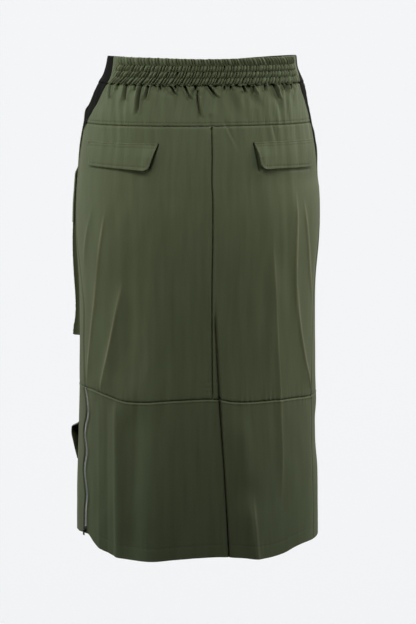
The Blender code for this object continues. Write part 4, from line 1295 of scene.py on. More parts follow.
# -------------------- stitching
@dataclass
class StitchRow:
    """One row of lock stitches along a line on the cloth."""
    angle: Field
    height: Field
    lift: Field | float
    length: float = 0.0030
    gap: float = 0.0011
    thick: float = 0.00033

    @classmethod
    def at(cls, place: Place, rise: float = THREAD_RISE, **sizes: float) -> "StitchRow":
        """A row at places on a piece, whose stitches stand out of its cloth by a rise."""
        angle, height, lift = place
        return cls(angle, height, lift + rise, **sizes)

    @classmethod
    def on(cls, relief: Relief, angle: Field, height: Field, **sizes: float) -> "StitchRow":
        """A row along angles and heights on a panel's relief."""
        return cls.at((angle, height, relief(angle, height)), **sizes)

    def sew(self, builder: bmesh.types.BMesh) -> None:
        """Add the row's stitches to a mesh, each a ball that is drawn out along the row.

        Args:
            builder: The mesh that gets them.
        """
        lift = np.broadcast_to(self.lift, self.angle.shape)
        line = FORM.place(self.angle, self.height, lift)
        outer = FORM.place(self.angle, self.height, lift + 0.001)
        run = np.concatenate([[0.0], np.cumsum(np.linalg.norm(np.diff(line, axis=0), axis=1))])
        middles = (np.arange(int(run[-1] / (self.length + self.gap))) + 0.5) * (self.length + self.gap)

        def at(values: Field, place: Field) -> Field:
            """Values at distances along the line."""
            return np.stack([np.interp(place, run, column) for column in values.T], 1)

        centre = at(line, middles)
        ahead = at(line, middles + self.length / 2) - at(line, middles - self.length / 2)
        for point, along, out in zip(centre, ahead, at(outer, middles) - centre):
            x_axis, z_axis = Vector(along).normalized(), Vector(out).normalized()
            y_axis = z_axis.cross(x_axis).normalized()
            place = stood(Vector(point), (x_axis, y_axis, x_axis.cross(y_axis)),
                          (self.length / 2, self.thick, self.thick))
            bmesh.ops.create_icosphere(builder, subdivisions=1, radius=1.0, matrix=place)


def sew_rows(name: str, rows: Sequence[StitchRow]) -> bpy.types.Object:
    """Make one piece of several rows of stitches.

    Args:
        name: Name of the piece.
        rows: The rows.

    Returns:
        The new object.
    """
    builder = bmesh.new()
    for row in rows:
        row.sew(builder)
    mesh = mesh_of(name, builder)
    mesh.shade_smooth()
    return add_piece(name, mesh, Finish.THREAD, Slot.CLOTH)


# -------------------- waistband and yoke
@dataclass
class Waistband:
    """Elasticated back waistband with four tiers of gathers, and the plain front waistband, near-black as
    painted shade.
    """
    back: Cut = Cut((0.68, 0.044), (560,), 52, Held.GATHERED, 0.0014)
    # the front waistband is near-black as painted shade for its ends, which lie in shade beside the side
    # seams
    front: Cut = Cut((0.54, 0.042), (4, 142, 4), 20, Held.STRETCHED, 0.0014, None, Finish.POCKETING_PAINTED_SHADE,
                     Slot.POCKETING_PAINTED_SHADE)
    crowding: float = 0.6
    seam_roll: Roll = Roll(0.0016, 0.0014)
    top_roll: Roll = Roll(0.0006, 0.0009)
    hidden: float = 0.0030  # length of a front end that lies behind the back waistband
    shown: float = 0.0009  # length beside it that bends in
    stitch_length: float = 0.0026
    stitch_gap: float = 0.0010
    last_row: float = 0.0022  # above the lower seam

    def back_relief(self, angle: Field, height: Field) -> Field:
        """Edges of the back waistband."""
        lower, upper = height - FORM.band_seam(angle), FORM.top_edge(angle) - height
        return self.seam_roll.out(lower) + self.top_roll.out(upper)

    def front_relief(self, angle: Field, height: Field) -> Field:
        """Edges of the front waistband, whose ends are turned in behind the back one's."""
        past = np.maximum(FORM.left_seam(height) - angle, angle - FORM.front_right_seam(height))
        return self.back_relief(angle, height) - turned_in(past * FORM.degree(angle, height))

    def front_stops(self, height: Field) -> list[Field]:
        """Main columns of the front waistband: both ends, and where they begin to turn in."""
        right, left = FORM.front_right_seam(height), FORM.left_seam(height)
        return [FORM.moved(right, height, self.hidden), FORM.moved(right, height, -self.shown),
                FORM.moved(left, height, self.shown), FORM.moved(left, height, -self.hidden)]

    def build(self) -> None:
        """Make both waistbands and the elastic's stitch rows."""
        for node, cut, stops, relief in (
                ("waistband_back", self.back, FORM.back_sides, self.back_relief),
                ("waistband_front", self.front, self.front_stops, self.front_relief)):
            lay_panel(node, cut, stops, FORM.top_edge, FORM.band_seam, relief, self.crowding, tuck=0.0)
        angles = np.linspace(FORM.gather_first + 6.0, FORM.gather_last - 2.5, 1400)
        heights = [blend(FORM.band_top, FORM.band_bottom, share) for share in FORM.tiers[1:-1]]
        heights.append(FORM.band_bottom + self.last_row)
        sew_rows("elastic_stitches", [
            StitchRow(angles, np.full_like(angles, height), THREAD_RISE, self.stitch_length, self.stitch_gap)
            for height in heights])


@dataclass
class BackYoke:
    """Back yoke, gathered into the waistband and topstitched above its lower seam."""
    cut: Cut = Cut((0.53, 0.062), (560,), 64, Held.GATHERED)
    crowding: float = 1.0
    stitch_rise: float = 0.0050
    stitch_ends: Size = (83.5, -73.0)
    seam_roll: Roll = Roll()
    band_roll: Roll = Roll(0.0020, 0.0016)
    groove: Groove = Groove()
    pucker: Pucker = Pucker(0.6, 0.0068, 0.0050, 0.00030)

    def relief(self, angle: Field, height: Field) -> Field:
        """Seams, stitch line and puckers of the yoke."""
        away = height - FORM.yoke_seam
        return (self.seam_roll.out(away) + self.band_roll.out(FORM.band_seam(angle) - height)
                + self.groove.out(away - self.stitch_rise)
                + self.pucker.out(away - self.stitch_rise, angle * FORM.degree(angle, height)))

    def build(self) -> None:
        """Make the yoke and its topstitching."""
        lay_panel("back_yoke", self.cut, FORM.back_sides, FORM.band_seam, FORM.yoke_line, self.relief,
                  self.crowding)
        angles = np.linspace(*self.stitch_ends, 900)
        heights = np.full_like(angles, FORM.yoke_seam + self.stitch_rise)
        sew_rows("yoke_topstitching", [StitchRow.on(self.relief, angles, heights)])


# -------------------- back panels and lower tier
@dataclass
class BackPanels:
    """Two back panels that meet at the centre back seam."""
    left: Cut = Cut((0.252, 0.430), (10, 198, 14, 10), 150)
    right: Cut = Cut((0.212, 0.430), (8, 40, 188), 150)
    side_rib: float = 0.006  # width of the finer columns there
    centre_places: tuple[float, ...] = (0.012, 0.003, -0.004)  # of the left panel's columns
    centre_tuck: float = 0.0060
    centre_gap: float = 0.0009
    centre_rib: float = 0.003  # width of the finer columns at the centre
    fold_width: float = 0.010
    fold_least: float = 4.0  # degrees from the centre to the fold's columns
    centre_roll: Roll = Roll(0.0030, 0.0007)
    top_roll: Roll = Roll(0.0030, 0.0011)
    knee_roll: Roll = Roll(0.0022, 0.0011)
    centre_ridge: Ridge = Ridge(0.0032, 0.0014, 0.0006)
    side_ridge: Ridge = Ridge(0.0020, 0.0012, 0.0011)
    centre_pucker: Pucker = Pucker(1.1, 0.0100, 0.0075, 0.00032)
    centre_shift: float = 0.004  # between the two sides' waves
    top_pucker: Pucker = Pucker(2.2, 0.0110, 0.0070, 0.00030)
    knee_pucker: Pucker = Pucker(3.4, 0.0125, 0.0090, 0.00038)
    knee_drawn: Ridge = Ridge(-33.0, 9.0, 2.2)  # degrees: where that seam is drawn up most

    def relief(self, angle: Field, height: Field) -> Field:
        """Seams and puckers of the two panels.

        Args:
            angle: Angles of the places.
            height: Their heights.

        Returns:
            Distances outwards.
        """
        degree = FORM.degree(angle, height)
        along, centre = angle * degree, np.abs(angle - FORM.centre_seam) * degree
        top, knee = FORM.yoke_seam - height, height - FORM.knee_line(angle)
        side = np.where(angle > FORM.centre_seam, 1.0, -1.0)
        rolls = np.minimum(self.top_roll.out(top), self.knee_roll.out(knee))
        lift = np.minimum(self.centre_roll.out(centre), rolls) + self.centre_ridge.out(centre)
        lift += self.centre_pucker.out(centre, height + self.centre_shift * side)
        lift += self.top_pucker.out(top, along)
        lift += self.knee_pucker.out(knee, along) * (1.0 + self.knee_drawn.out(angle))
        return lift - sum(flap.press(angle, height) for flap in FLAPS)

    def left_relief(self, angle: Field, height: Field) -> Field:
        """Relief of the left panel, whose edge is turned in behind the right panel's.

        Args:
            angle: Angles of the places.
            height: Their heights.

        Returns:
            Distances outwards.
        """
        degree = FORM.degree(angle, height)
        ends = np.minimum(FORM.yoke_seam - height, height - FORM.knee_line(angle))
        deep = blend(TUCK_DEPTH, self.centre_tuck, smoothstep((ends - 0.001) / 0.007))
        rib = self.side_ridge.out((FORM.left_seam(height) - angle) * degree)
        return self.relief(angle, height) - turned_in((FORM.centre_seam - angle) * degree, deep, 0.0010) + rib

    def left_stops(self, height: Field) -> list[Field]:
        """Main columns of the left panel, finer beside both seams."""
        seam, side = np.full_like(height, FORM.centre_seam), FORM.back_sides(height)[0]
        return [side, FORM.moved(side, height, -self.side_rib),
                *(FORM.moved(seam, height, place) for place in self.centre_places)]

    def right_stops(self, height: Field) -> list[Field]:
        """Main columns of the right panel, finer beside the centre seam and over the overlapping fold.

        Args:
            height: The heights.

        Returns:
            Angles of the columns, greatest first.
        """
        start = FORM.moved(np.full_like(height, FORM.centre_seam), height, -self.centre_gap)
        fold = FORM.moved(read(OVERLAP_LINE, height)[0], height, -self.fold_width)
        return [start, FORM.moved(start, height, -self.centre_rib), np.minimum(fold, start - self.fold_least),
                FORM.back_sides(height)[1]]

    def build(self) -> None:
        """Make both panels."""
        seams = FORM.yoke_line, FORM.knee_line
        lay_panel("back_panel_left", self.left, self.left_stops, *seams, self.left_relief)
        lay_panel("back_panel_right", self.right, self.right_stops, *seams, self.relief)


@dataclass
class LowerTier:
    """Lower tier: the back in one piece from the zip to the right side seam, and the front."""
    back: Cut = Cut((0.45, 0.255), (16, 108, 24, 36, 18, 98), 110, thickness=0.0011)
    front: Cut = Cut((0.645, 0.262), (130, 16), 60, thickness=0.0011)
    fold_places: tuple[float, ...] = (0.040, 0.012, -0.005, -0.030)  # of columns beside the overlapping fold
    zip_columns: float = 0.009  # width of the finer columns beside the zip
    zip_half: float = 0.0030
    hem_depth: float = 0.020
    groove_place: float = 0.0014  # where the fold's groove meets the hem
    groove_width: float = 0.0024
    groove_drop: float = 0.0030
    knee_roll: Roll = Roll(0.0022, 0.0009)
    knee_ridge: Ridge = Ridge(0.0024, 0.0012, 0.0006)
    knee_pucker: Pucker = Pucker(4.0, 0.0125, 0.0080, 0.00045)
    hem_groove: Groove = Groove(0.00035)
    hem_pucker: Pucker = Pucker(5.2, 0.0135, 0.0110, 0.00012)
    zip_ridge: Ridge = Ridge(0.0058, 0.0022, 0.0016)
    zip_groove: Ridge = Ridge(0.0036, 0.0011, -0.0016)
    stitch_length: float = 0.0032
    stitch_ends: tuple[Size, ...] = ((69.0, -68.5), (288.0, 80.0))

    def back_hem(self, angle: Field) -> Field:
        """Height of the back's hem, which hangs a little lower where the overlapping fold turns in.

        Args:
            angle: Angles of the places.

        Returns:
            The heights.
        """
        hem = FORM.hem_line(angle)
        away = wrapped(angle - read(OVERLAP_LINE, hem)[0]) * FORM.degree(angle, hem)
        return hem - self.groove_drop * near(away - self.groove_place, self.groove_width, 3)

    def relief(self, angle: Field, height: Field) -> Field:
        """Knee seam and hem of the tier, and the cloth's edges beside the zip.

        Args:
            angle: Angles of the places.
            height: Their heights.

        Returns:
            Distances outwards.
        """
        degree = FORM.degree(angle, height)
        knee = FORM.knee_line(angle) - height
        hem = height - FORM.hem_line(angle) - self.hem_depth
        beside = np.abs(wrapped(angle - FORM.left_seam(height))) * degree
        lift = self.knee_roll.out(knee) + self.hem_groove.out(hem) + self.knee_ridge.out(knee)
        lift += self.knee_pucker.out(knee, angle * degree) + self.hem_pucker.out(hem, angle * degree)
        zip_edges = self.zip_ridge.out(beside) + self.zip_groove.out(beside)
        return lift + np.where(height < ZIP_LINE[0].height, zip_edges, 0.0)

    def zip_edge(self, height: Field, side: float) -> Field:
        """Angle of the cloth edge beside the zip: side is 1 in front of it and -1 behind."""
        return FORM.moved(FORM.left_seam(height), height, side * (self.zip_half + SEAM_GAP))

    def back_stops(self, height: Field) -> list[Field]:
        """Main columns of the back, finer beside the zip and over the overlapping fold."""
        edge, fold = self.zip_edge(height, -1.0), read(OVERLAP_LINE, height)[0]
        return [edge, FORM.moved(edge, height, -self.zip_columns),
                *(FORM.moved(fold, height, place) for place in self.fold_places), FORM.back_sides(height)[1]]

    def front_stops(self, height: Field) -> list[Field]:
        """Main columns of the front, finer beside the zip."""
        edge = self.zip_edge(height, 1.0)
        return [FORM.moved(FORM.front_right_seam(height), height, -SEAM_GAP / 2),
                FORM.moved(edge, height, self.zip_columns), edge]

    def build(self) -> None:
        """Make the back and front of the tier and their stitching."""
        lay_panel("back_hem_tier", self.back, self.back_stops, FORM.knee_line, self.back_hem, self.relief)
        lay_panel("front_hem_tier", self.front, self.front_stops, FORM.knee_line, FORM.hem_line, self.relief)
        lines = [np.linspace(*ends, 1200) for ends in self.stitch_ends]
        rows = [StitchRow.on(self.relief, angles, FORM.hem_line(angles) + self.hem_depth,
                             length=self.stitch_length) for angles in lines]
        sew_rows("hem_stitching", rows)


# -------------------- front
@dataclass
class Front:
    """Front panel with two hip pockets, whose facings show in their mouths; the facings are near-black as
    painted shade.
    """
    panel: Cut = Cut((0.61, 0.487), (130,), 96, area=0.265)
    # painted shade: the facings are near-black where they show in the shade of the mouths
    facing: Cut = Cut((0.105, 0.184), (40,), 60, Held.LAID, area=0.0155, finish=Finish.POCKETING_PAINTED_SHADE,
                      slot=Slot.POCKETING_PAINTED_SHADE)
    wall: float = 0.0015
    roll: Roll = Roll()
    knee_pucker: Pucker = Pucker(6.1, 0.0125, 0.0090, 0.00036)
    facing_tuck: float = 15.0  # degrees that it runs on under the front panel
    facing_end: float = -0.205
    facing_gap: float = 0.0016
    facing_turned_in: float = 0.0025
    facing_flush: float = 0.0005  # its depth where it shows
    rim: float = 0.3  # degrees between a mouth and the middle of its facing
    stitch_insets: tuple[float, ...] = (0.0020, 0.0075)

    def panel_relief(self, angle: Field, height: Field) -> Field:
        """Pocket mouths and seams of the front panel."""
        knee, band = height - FORM.knee_line(angle), FORM.band_seam(angle) - height
        return (FORM.mouth_lift(angle, height) + self.roll.out(knee) + self.roll.out(band)
                + self.knee_pucker.out(knee, angle * FORM.degree(angle, height)))

    def facing_spot(self, mouth: Course, seam: Course, turn: float) -> Spot:
        """Place of a pocket facing from its side seam to its edge under the front panel.

        Args:
            mouth: Angle of the pocket's mouth at a height.
            seam: Angle of the side seam at a height.
            turn: 1 on the wearer's left and -1 on the right.

        Returns:
            A function from shares across and down to angles, heights and lifts.
        """
        def spot(across: Field, down: Field) -> Place:
            """Place of a grid point.

            Args:
                across: Shares of the width.
                down: Shares of the drop.

            Returns:
                Angles, heights and lifts of the points.
            """
            stop = 2.0 * (across if turn < 0 else 1.0 - across)
            angle = seam(np.zeros_like(across))
            for _ in range(SETTLING_ROUNDS):
                height = blend(FORM.band_seam(angle) + self.facing_turned_in, self.facing_end, down)
                start = FORM.moved(seam(height), height, -turn * self.facing_turned_in)
                rim = mouth(height) + turn * self.rim
                under = rim + turn * self.facing_tuck * (stop - 1.0)
                angle = np.where(stop < 1.0, blend(start, rim, stop), under)
            degree = FORM.degree(angle, height)
            room = np.abs(mouth(height) - seam(height)) * degree
            flush = smoothstep((room - 0.004) / 0.010) * (1.0 - smoothstep(stop))
            deep = self.wall + self.facing_gap - 0.6 * FORM.mouth_lift(angle, height)
            past = np.maximum(turn * (seam(height) - angle) * degree, height - FORM.band_seam(angle))
            deep = blend(deep, self.facing_flush, flush) + turned_in(past, 1.4 * TUCK_DEPTH, 0.0008, 0.0012)
            return angle, height, -deep

        return spot

    def stops(self, height: Field) -> list[Field]:
        """Edges of the front panel at its two pocket mouths."""
        return [FORM.moved(FORM.mouth_right(height), height, -SEAM_GAP / 2),
                FORM.moved(FORM.mouth_left(height), height, SEAM_GAP / 2)]

    def build(self) -> None:
        """Make the front panel, both facings and the mouths' topstitching."""
        lay_panel("front_panel", self.panel, self.stops, FORM.band_seam, FORM.knee_line, self.panel_relief)
        heights = np.linspace(-0.045, FORM.mouth_end + 0.004, 260)
        rows = []
        for side, mouth, seam, turn in (("left", FORM.mouth_left, FORM.left_seam, 1.0),
                                        ("right", FORM.mouth_right, FORM.front_right_seam, -1.0)):
            lay_cloth(f"hip_pocket_{side}_facing", self.facing, self.facing_spot(mouth, seam, turn),
                      f"hip_pocket_{side}")
            rows += [StitchRow.on(FORM.mouth_lift, FORM.moved(mouth(heights), heights, turn * inset), heights)
                     for inset in self.stitch_insets]
        sew_rows("mouth_topstitching", rows)


# -------------------- flaps and cargo pocket
@dataclass
class BackFlap:
    """One back pocket flap, sewn along its top edge. Its start is the edge with the greater angle."""
    name: str
    top: float
    start_top: float  # angles of its corners
    end_top: float
    bottom_start: float  # heights of its lower corners
    bottom_end: float
    start_bottom: float
    end_bottom: float
    stand_start: float  # how far its two edges stand off
    stand_end: float
    cut: Cut = Cut((0.116, 0.0435), (84,), 44, thickness=0.0014)
    layer: float = 0.0022
    fullness: float = 0.0008
    corner: float = 0.16  # share of the height that its rounded corners take
    corner_inset: float = 2.6  # degrees
    crowding: float = 0.4
    seam_inset: float = 0.0050
    top_insets: Size = (0.0015, 0.0065)
    press_depth: float = 0.0120
    press_gap: float = 0.0002
    side_press: Size = (0.0012, 0.0008)  # its width at the top, and what it gains downwards
    foot_press: float = 0.0016
    foot_share: float = 0.35
    rim_groove: Groove = Groove(0.00040)
    rim_roll: Roll = Roll(0.0005, 0.0007)
    rim_pucker: Pucker = Pucker(1.9, 0.0085, 0.0040, 0.00028)
    top_grooves: tuple[Groove, Groove] = (Groove(0.0005), Groove(0.00035))

    @property
    def depth(self) -> float:
        """Height of the flap at its longer edge."""
        return self.top - self.bottom_end

    @property
    def end_is_free(self) -> bool:
        """Whether the edge that stands off most is the one with the smaller angle."""
        return self.stand_end > self.stand_start

    def start(self, down: Field) -> Field:
        """Angle of the edge with the greater angle."""
        return blend(self.start_top, self.start_bottom, down)

    def end(self, down: Field) -> Field:
        """Angle of the edge with the smaller angle."""
        return blend(self.end_top, self.end_bottom, down)

    def press(self, angle: Field, height: Field) -> Field:
        """How deep the flap's free inner and lower edges press into the panel.

        Args:
            angle: Angles of the places.
            height: Their heights.

        Returns:
            Depths.
        """
        down = (self.top - height) / self.depth
        away = self.end(down) - angle if self.end_is_free else angle - self.start(down)
        away = away * FORM.degree(angle, height)
        across = (angle - self.start_bottom) / (self.end_bottom - self.start_bottom)
        low = blend(self.bottom_start, self.bottom_end, np.clip(across, 0.0, 1.0))
        narrow, gain = self.side_press
        side = near(away + self.press_gap, narrow + gain * np.clip(down, 0.0, 1.0), 3)
        side = side * smoothstep(down / 0.06) * smoothstep((1.05 - down) / 0.08)
        foot = near(low - height + self.press_gap, self.foot_press, 3)
        foot = foot * smoothstep((across + 0.02) / 0.06) * smoothstep((1.02 - across) / 0.06)
        return self.press_depth * np.maximum(side, self.foot_share * foot)

    def point(self, across: Field, down: Field) -> Place:
        """Place of a point of the flap, before its stitching's relief.

        Args:
            across: Shares of the width.
            down: Shares of the drop.

        Returns:
            Angles, heights and lifts of the points.
        """
        start, end = self.start(down), self.end(down)
        round_part = np.clip((down - 1.0 + self.corner) / self.corner, 0.0, 1.0)
        inset = self.corner_inset * (1.0 - np.sqrt(1.0 - round_part ** 2))
        if self.end_is_free:
            end = end + inset
        else:
            start = start - inset
        stand = self.stand_start * (1.0 - across) ** 3 + self.stand_end * across ** 3
        lift = self.layer + self.fullness * smoothstep(down) + stand * smoothstep(down / 0.55) ** 0.8
        height = blend(self.top, blend(self.bottom_start, self.bottom_end, across), down)
        return blend(start, end, across), height, lift

    def spot(self, across: Field, down: Field) -> Place:
        """Place of a grid point of the flap, with its stitching's relief.

        Args:
            across: Shares of the width.
            down: Shares of the drop.

        Returns:
            Angles, heights and lifts of the points.
        """
        across, down = crowd_ends(across, self.crowding), crowd_ends(down, self.crowding)
        angle, height, lift = self.point(across, down)
        degree = FORM.degree(angle, height)
        sides = np.minimum(across, 1.0 - across) * abs(self.start_top - self.end_top) * degree
        foot = (1.0 - down) * self.depth
        rim = np.minimum(sides, foot)
        lift = lift + self.rim_groove.out(rim - self.seam_inset) + self.rim_roll.out(rim)
        lift += self.rim_pucker.out(rim - self.seam_inset, np.where(sides < foot, height, angle * degree))
        for groove, inset in zip(self.top_grooves, self.top_insets):
            lift += groove.out(down * self.depth - inset)
        return angle, height, lift

    def build(self) -> list[StitchRow]:
        """Make the flap.

        Returns:
            Its rows of topstitching: one round its free edges, and two along its top.
        """
        lay_cloth(f"{self.name}_cloth", self.cut, self.spot, self.name)
        angle, height, _ = self.point(np.array([0.5]), np.array([0.5]))
        side = self.seam_inset / (abs(self.start_top - self.end_top) * FORM.degree(angle, height)[0])
        foot = 1.0 - self.seam_inset / self.depth
        bend_across, bend_down = 0.03, 0.12
        half = [(side, 0.02), (side, foot - bend_down), (side + bend_across, foot)]
        path = np.array([*half, *((1.0 - across, down) for across, down in reversed(half))])
        run = np.linspace(0.0, len(path) - 1.0, 400)
        rim = [np.interp(run, np.arange(len(path)), column) for column in path.T]
        top_rows = [(np.linspace(gap, 1.0 - gap, 200), np.full(200, down))
                    for gap, down in ((0.015, 0.035), (0.03, 0.165))]
        return [StitchRow.at(self.point(*shares), -0.0002) for shares in (rim, *top_rows)]


FLAPS = (
    BackFlap("flap_left", -0.1095, 76.4, 32.8, -0.1470, -0.1500, 72.2, 37.6, 0.0006, 0.0072),
    BackFlap("flap_right", -0.1085, -32.7, -74.4, -0.1490, -0.1520, -36.0, -70.0, 0.0068, 0.0006),
)


@dataclass
class CargoPocket:
    """Bellows pocket on the wearer's left, with its flap."""
    bag: Cut = Cut((0.185, 0.255), (90,), 90)
    flap: Cut = Cut((0.178, 0.083), (90,), 50, thickness=0.0014)
    back_edge: float = 98.0
    front_edge: float = 148.0
    top: float = -0.192
    bottom: float = -0.430
    flap_top: float = -0.152
    flap_bottom: float = -0.246
    flap_overhang: float = 0.0025
    flap_layer: float = 0.0012
    foot: float = 0.0016
    crown: float = 0.0070
    side_share: float = 0.07  # shares of the bag that its side walls and its lower wall take
    foot_share: float = 0.05
    pleat: float = 0.0016
    width: float = 0.15
    depth: float = 0.08
    face_inset: float = 0.003
    mouth_inset: float = 0.018
    flap_inset: float = 0.005
    groove: Groove = Groove(0.0004)
    bag_pucker: Pucker = Pucker(2.7, height=0.0003)
    flap_pucker: Pucker = Pucker(3.3)

    def out(self, part: Field, height: Field) -> Field:
        """How far the pocket's outer face stands off the panel.

        Args:
            part: Shares of the face's width.
            height: Heights there.

        Returns:
            Distances outwards.
        """
        down = (self.top - height) / (self.top - self.bottom)
        crown = np.sin(math.pi * np.clip(part, 0.0, 1.0)) * np.sin(math.pi * np.clip(down, 0.35, 1.0))
        return read(POCKET_STAND, height)[0] + self.crown * crown

    def bag_spot(self, across: Field, down: Field) -> Place:
        """Place of a grid point of the bellows bag: foot, side wall, face, side wall, foot.

        Args:
            across: Shares of the width.
            down: Shares of the drop.

        Returns:
            Angles, heights and lifts of the points.
        """
        climb = np.clip(np.minimum(across, 1 - across) / self.side_share, 0, 1)
        drop = np.clip((1 - down) / self.foot_share, 0, 1)
        part = np.clip((across - self.side_share) / (1 - 2 * self.side_share), 0, 1)
        height = blend(self.top, self.bottom, np.clip(down / (1 - self.foot_share), 0, 1))
        tuck = self.pleat * np.sin(math.pi * climb)
        angle = FORM.moved(blend(self.front_edge, self.back_edge, part), height,
                           np.where(across < 0.5, -tuck, tuck) * (climb < 1.0))
        height = height + self.pleat * np.sin(math.pi * drop) * (drop < 1.0)
        along = np.minimum(part, 1 - part) * 0.14
        full = self.out(part, height) + self.groove.out(along - self.face_inset)
        full = full + self.bag_pucker.out(along, height)
        full = full + self.groove.out(self.top - height - self.mouth_inset)
        return angle, height, blend(self.foot, full, np.minimum(climb, drop))

    def flap_spot(self, across: Field, down: Field) -> Place:
        """Place of a grid point of the flap.

        Args:
            across: Shares of the width.
            down: Shares of the drop.

        Returns:
            Angles, heights and lifts of the points.
        """
        height = blend(self.flap_top, self.flap_bottom, down)
        start, end = (FORM.moved(np.full_like(height, edge), height, past) for edge, past in (
            (self.front_edge, self.flap_overhang), (self.back_edge, -self.flap_overhang)))
        angle = blend(start, end, across)
        sides = np.minimum(across, 1 - across) * self.width
        rise = smoothstep(down / 0.18) ** 0.8 * (1.0 - 0.45 * np.exp(-sides / 0.0022))
        away = np.minimum(sides, (1 - down) * self.depth) - self.flap_inset
        lift = self.flap_layer + (self.out(across, height) + 0.0002) * rise
        return angle, height, lift + self.groove.out(away) + self.flap_pucker.out(away, angle * 0.003)

    def face(self, share: Field, height: Field) -> Place:
        """Places on the bag's outer face."""
        return blend(self.front_edge, self.back_edge, share), height, self.out(share, height)

    def build(self) -> None:
        """Make the bag, its flap and their topstitching."""
        lay_cloth("cargo_pocket_bag", self.bag, self.bag_spot, "cargo_pocket")
        lay_cloth("cargo_pocket_flap_cloth", self.flap, self.flap_spot, "cargo_pocket_flap")
        side, low = 0.034, 0.94
        across = np.concatenate([[side] * 120, np.linspace(side, 1 - side, 200), [1 - side] * 120])
        down = np.concatenate([np.linspace(0.03, low, 120), [low] * 200, np.linspace(low, 0.03, 120)])
        rows = [StitchRow.at(self.flap_spot(across, down))]
        heights = np.linspace(self.top - 0.002, self.bottom + 0.002, 300)
        rows += [StitchRow.at(self.face(np.full(300, share), heights), 0.0) for share in (0.022, 1 - 0.022)]
        foot = self.face(np.linspace(0.01, 0.99, 300), np.full(300, self.bottom + self.face_inset))
        sew_rows("cargo_topstitching", [*rows, StitchRow.at(foot, 0.0)])


@dataclass
class UtilityLoop:
    """Loop of folded cloth on the lower tier, beside the zip."""
    cut: Cut = Cut((0.022, 0.071), (22,), 90, thickness=0.0012)
    angle: float = 97.5
    width: float = 0.022
    top: float = -0.5740
    bottom: float = -0.6320
    stand: float = 0.0121
    layer: float = 0.0010
    stitch_inset: float = 0.0025
    stitch_length: float = 0.0024
    groove: Groove = Groove(0.0004, 0.0008)
    roll: Roll = Roll(0.0004, 0.0006)

    def spot(self, across: Field, down: Field) -> Place:
        """Place of a grid point of the loop.

        Args:
            across: Shares of the width.
            down: Shares of the drop.

        Returns:
            Angles, heights and lifts of the points.
        """
        height = blend(self.top, self.bottom, down)
        twist = 0.22 + 0.78 * smoothstep(across * 1.15)
        rim = np.minimum(across, 1 - across) * self.width
        lift = self.layer + (self.stand - self.layer) * read(LOOP_BENDS, down)[0] * twist
        lift = lift + self.groove.out(rim - self.stitch_inset) + self.roll.out(rim)
        return FORM.moved(np.full_like(height, self.angle), height, self.width * (0.5 - across)), height, lift

    def build(self) -> None:
        """Make the loop and its edge stitching."""
        lay_cloth("utility_loop_cloth", self.cut, self.spot, "utility_loop")
        down = np.linspace(0.02, 0.98, 160)
        sew_rows("loop_stitching", [
            StitchRow.at(self.spot(np.full_like(down, share), down), length=self.stitch_length)
            for share in (0.114, 0.886)])


# -------------------- zip
@dataclass
class SideZip:
    """Metal zip in the side seam of the lower tier, closed down to its slider."""
    tape: Cut = Cut((0.0100, 0.2335), (8,), 120, Held.STRETCHED, 0.0006, 0.0017, Finish.TAPE)
    tape_lift: float = -0.0020
    slider_top: float = -0.7275
    half_width: float = 0.0030
    tooth_pitch: float = 0.00105
    tooth_reach: float = 0.0022
    tooth_rise: float = 0.0016
    tooth_share: float = 0.86  # of the pitch, that a tooth fills
    tooth_bevel: float = 0.00018
    chain_offset: float = 0.0006
    chain_lift: float = -0.0006

    def tape_spot(self, across: Field, down: Field) -> Place:
        """Place of a grid point of the tape behind the teeth.

        Args:
            across: Shares of the width.
            down: Shares of the drop.

        Returns:
            Angles, heights and lifts of the points.
        """
        high = FORM.knee_line(np.full_like(across, 75.0)) - SEAM_GAP
        height = blend(high, self.slider_top, down)
        angle = FORM.moved(FORM.left_seam(height), height, (0.5 - across) * 2 * (self.half_width + SEAM_GAP))
        return angle, height, np.full_like(across, self.tape_lift)

    def teeth(self) -> bpy.types.Mesh:
        """Make the chain: a bevelled block for each tooth, by turns on the left and on the right.

        Returns:
            The chain's mesh.
        """
        heights = np.arange(FORM.knee_line(np.array(76.0)) - 0.001, self.slider_top, -self.tooth_pitch)
        angles = FORM.left_seam(heights)
        centre = FORM.place(angles, heights, np.full_like(heights, self.chain_lift))
        sideways = FORM.place(angles + 0.3, heights, np.zeros_like(heights)) - centre
        builder = bmesh.new()
        for number, (point, side, along) in enumerate(zip(centre, sideways, np.gradient(centre, axis=0))):
            x_axis, z_axis = Vector(side).normalized(), Vector(along).normalized()
            y_axis = z_axis.cross(x_axis).normalized()
            shift = self.chain_offset if number % 2 else -self.chain_offset
            place = stood(Vector(point) + x_axis * shift, (x_axis, y_axis, z_axis),
                          (self.tooth_reach, self.tooth_rise, self.tooth_pitch * self.tooth_share))
            bmesh.ops.create_cube(builder, size=1.0, matrix=place)
        bmesh.ops.bevel(builder, geom=builder.edges[:], offset=self.tooth_bevel, segments=1, profile=0.5,
                        affect="EDGES", material=-1)
        bmesh.ops.recalc_face_normals(builder, faces=builder.faces[:])
        return mesh_of("zip_teeth", builder)

    def build(self) -> None:
        """Make the tape and the chain of teeth, and give the slider and its pull their metal, darkened as
        painted shade.
        """
        lay_cloth("zip_tape", self.tape, self.tape_spot)
        add_piece("zip_teeth", self.teeth(), Finish.METAL, Slot.METAL, ("side_zip",))
        for node in ("zip_slider", "zip_pull"):
            Finish.DARK_METAL.dress(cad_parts[node])


# -------------------- studio
class Card(NamedTuple):
    """A matt dark card that the camera doesn't see, which keeps some of the room's light off the skirt."""
    name: str
    place: tuple[float, float, float]
    target: tuple[float, float, float]
    width: float
    depth: float


class Lamp(NamedTuple):
    """A soft box that faces a target."""
    name: str
    place: tuple[float, float, float]
    target: tuple[float, float, float]
    width: float
    depth: float
    power: float  # watts
    colour: str


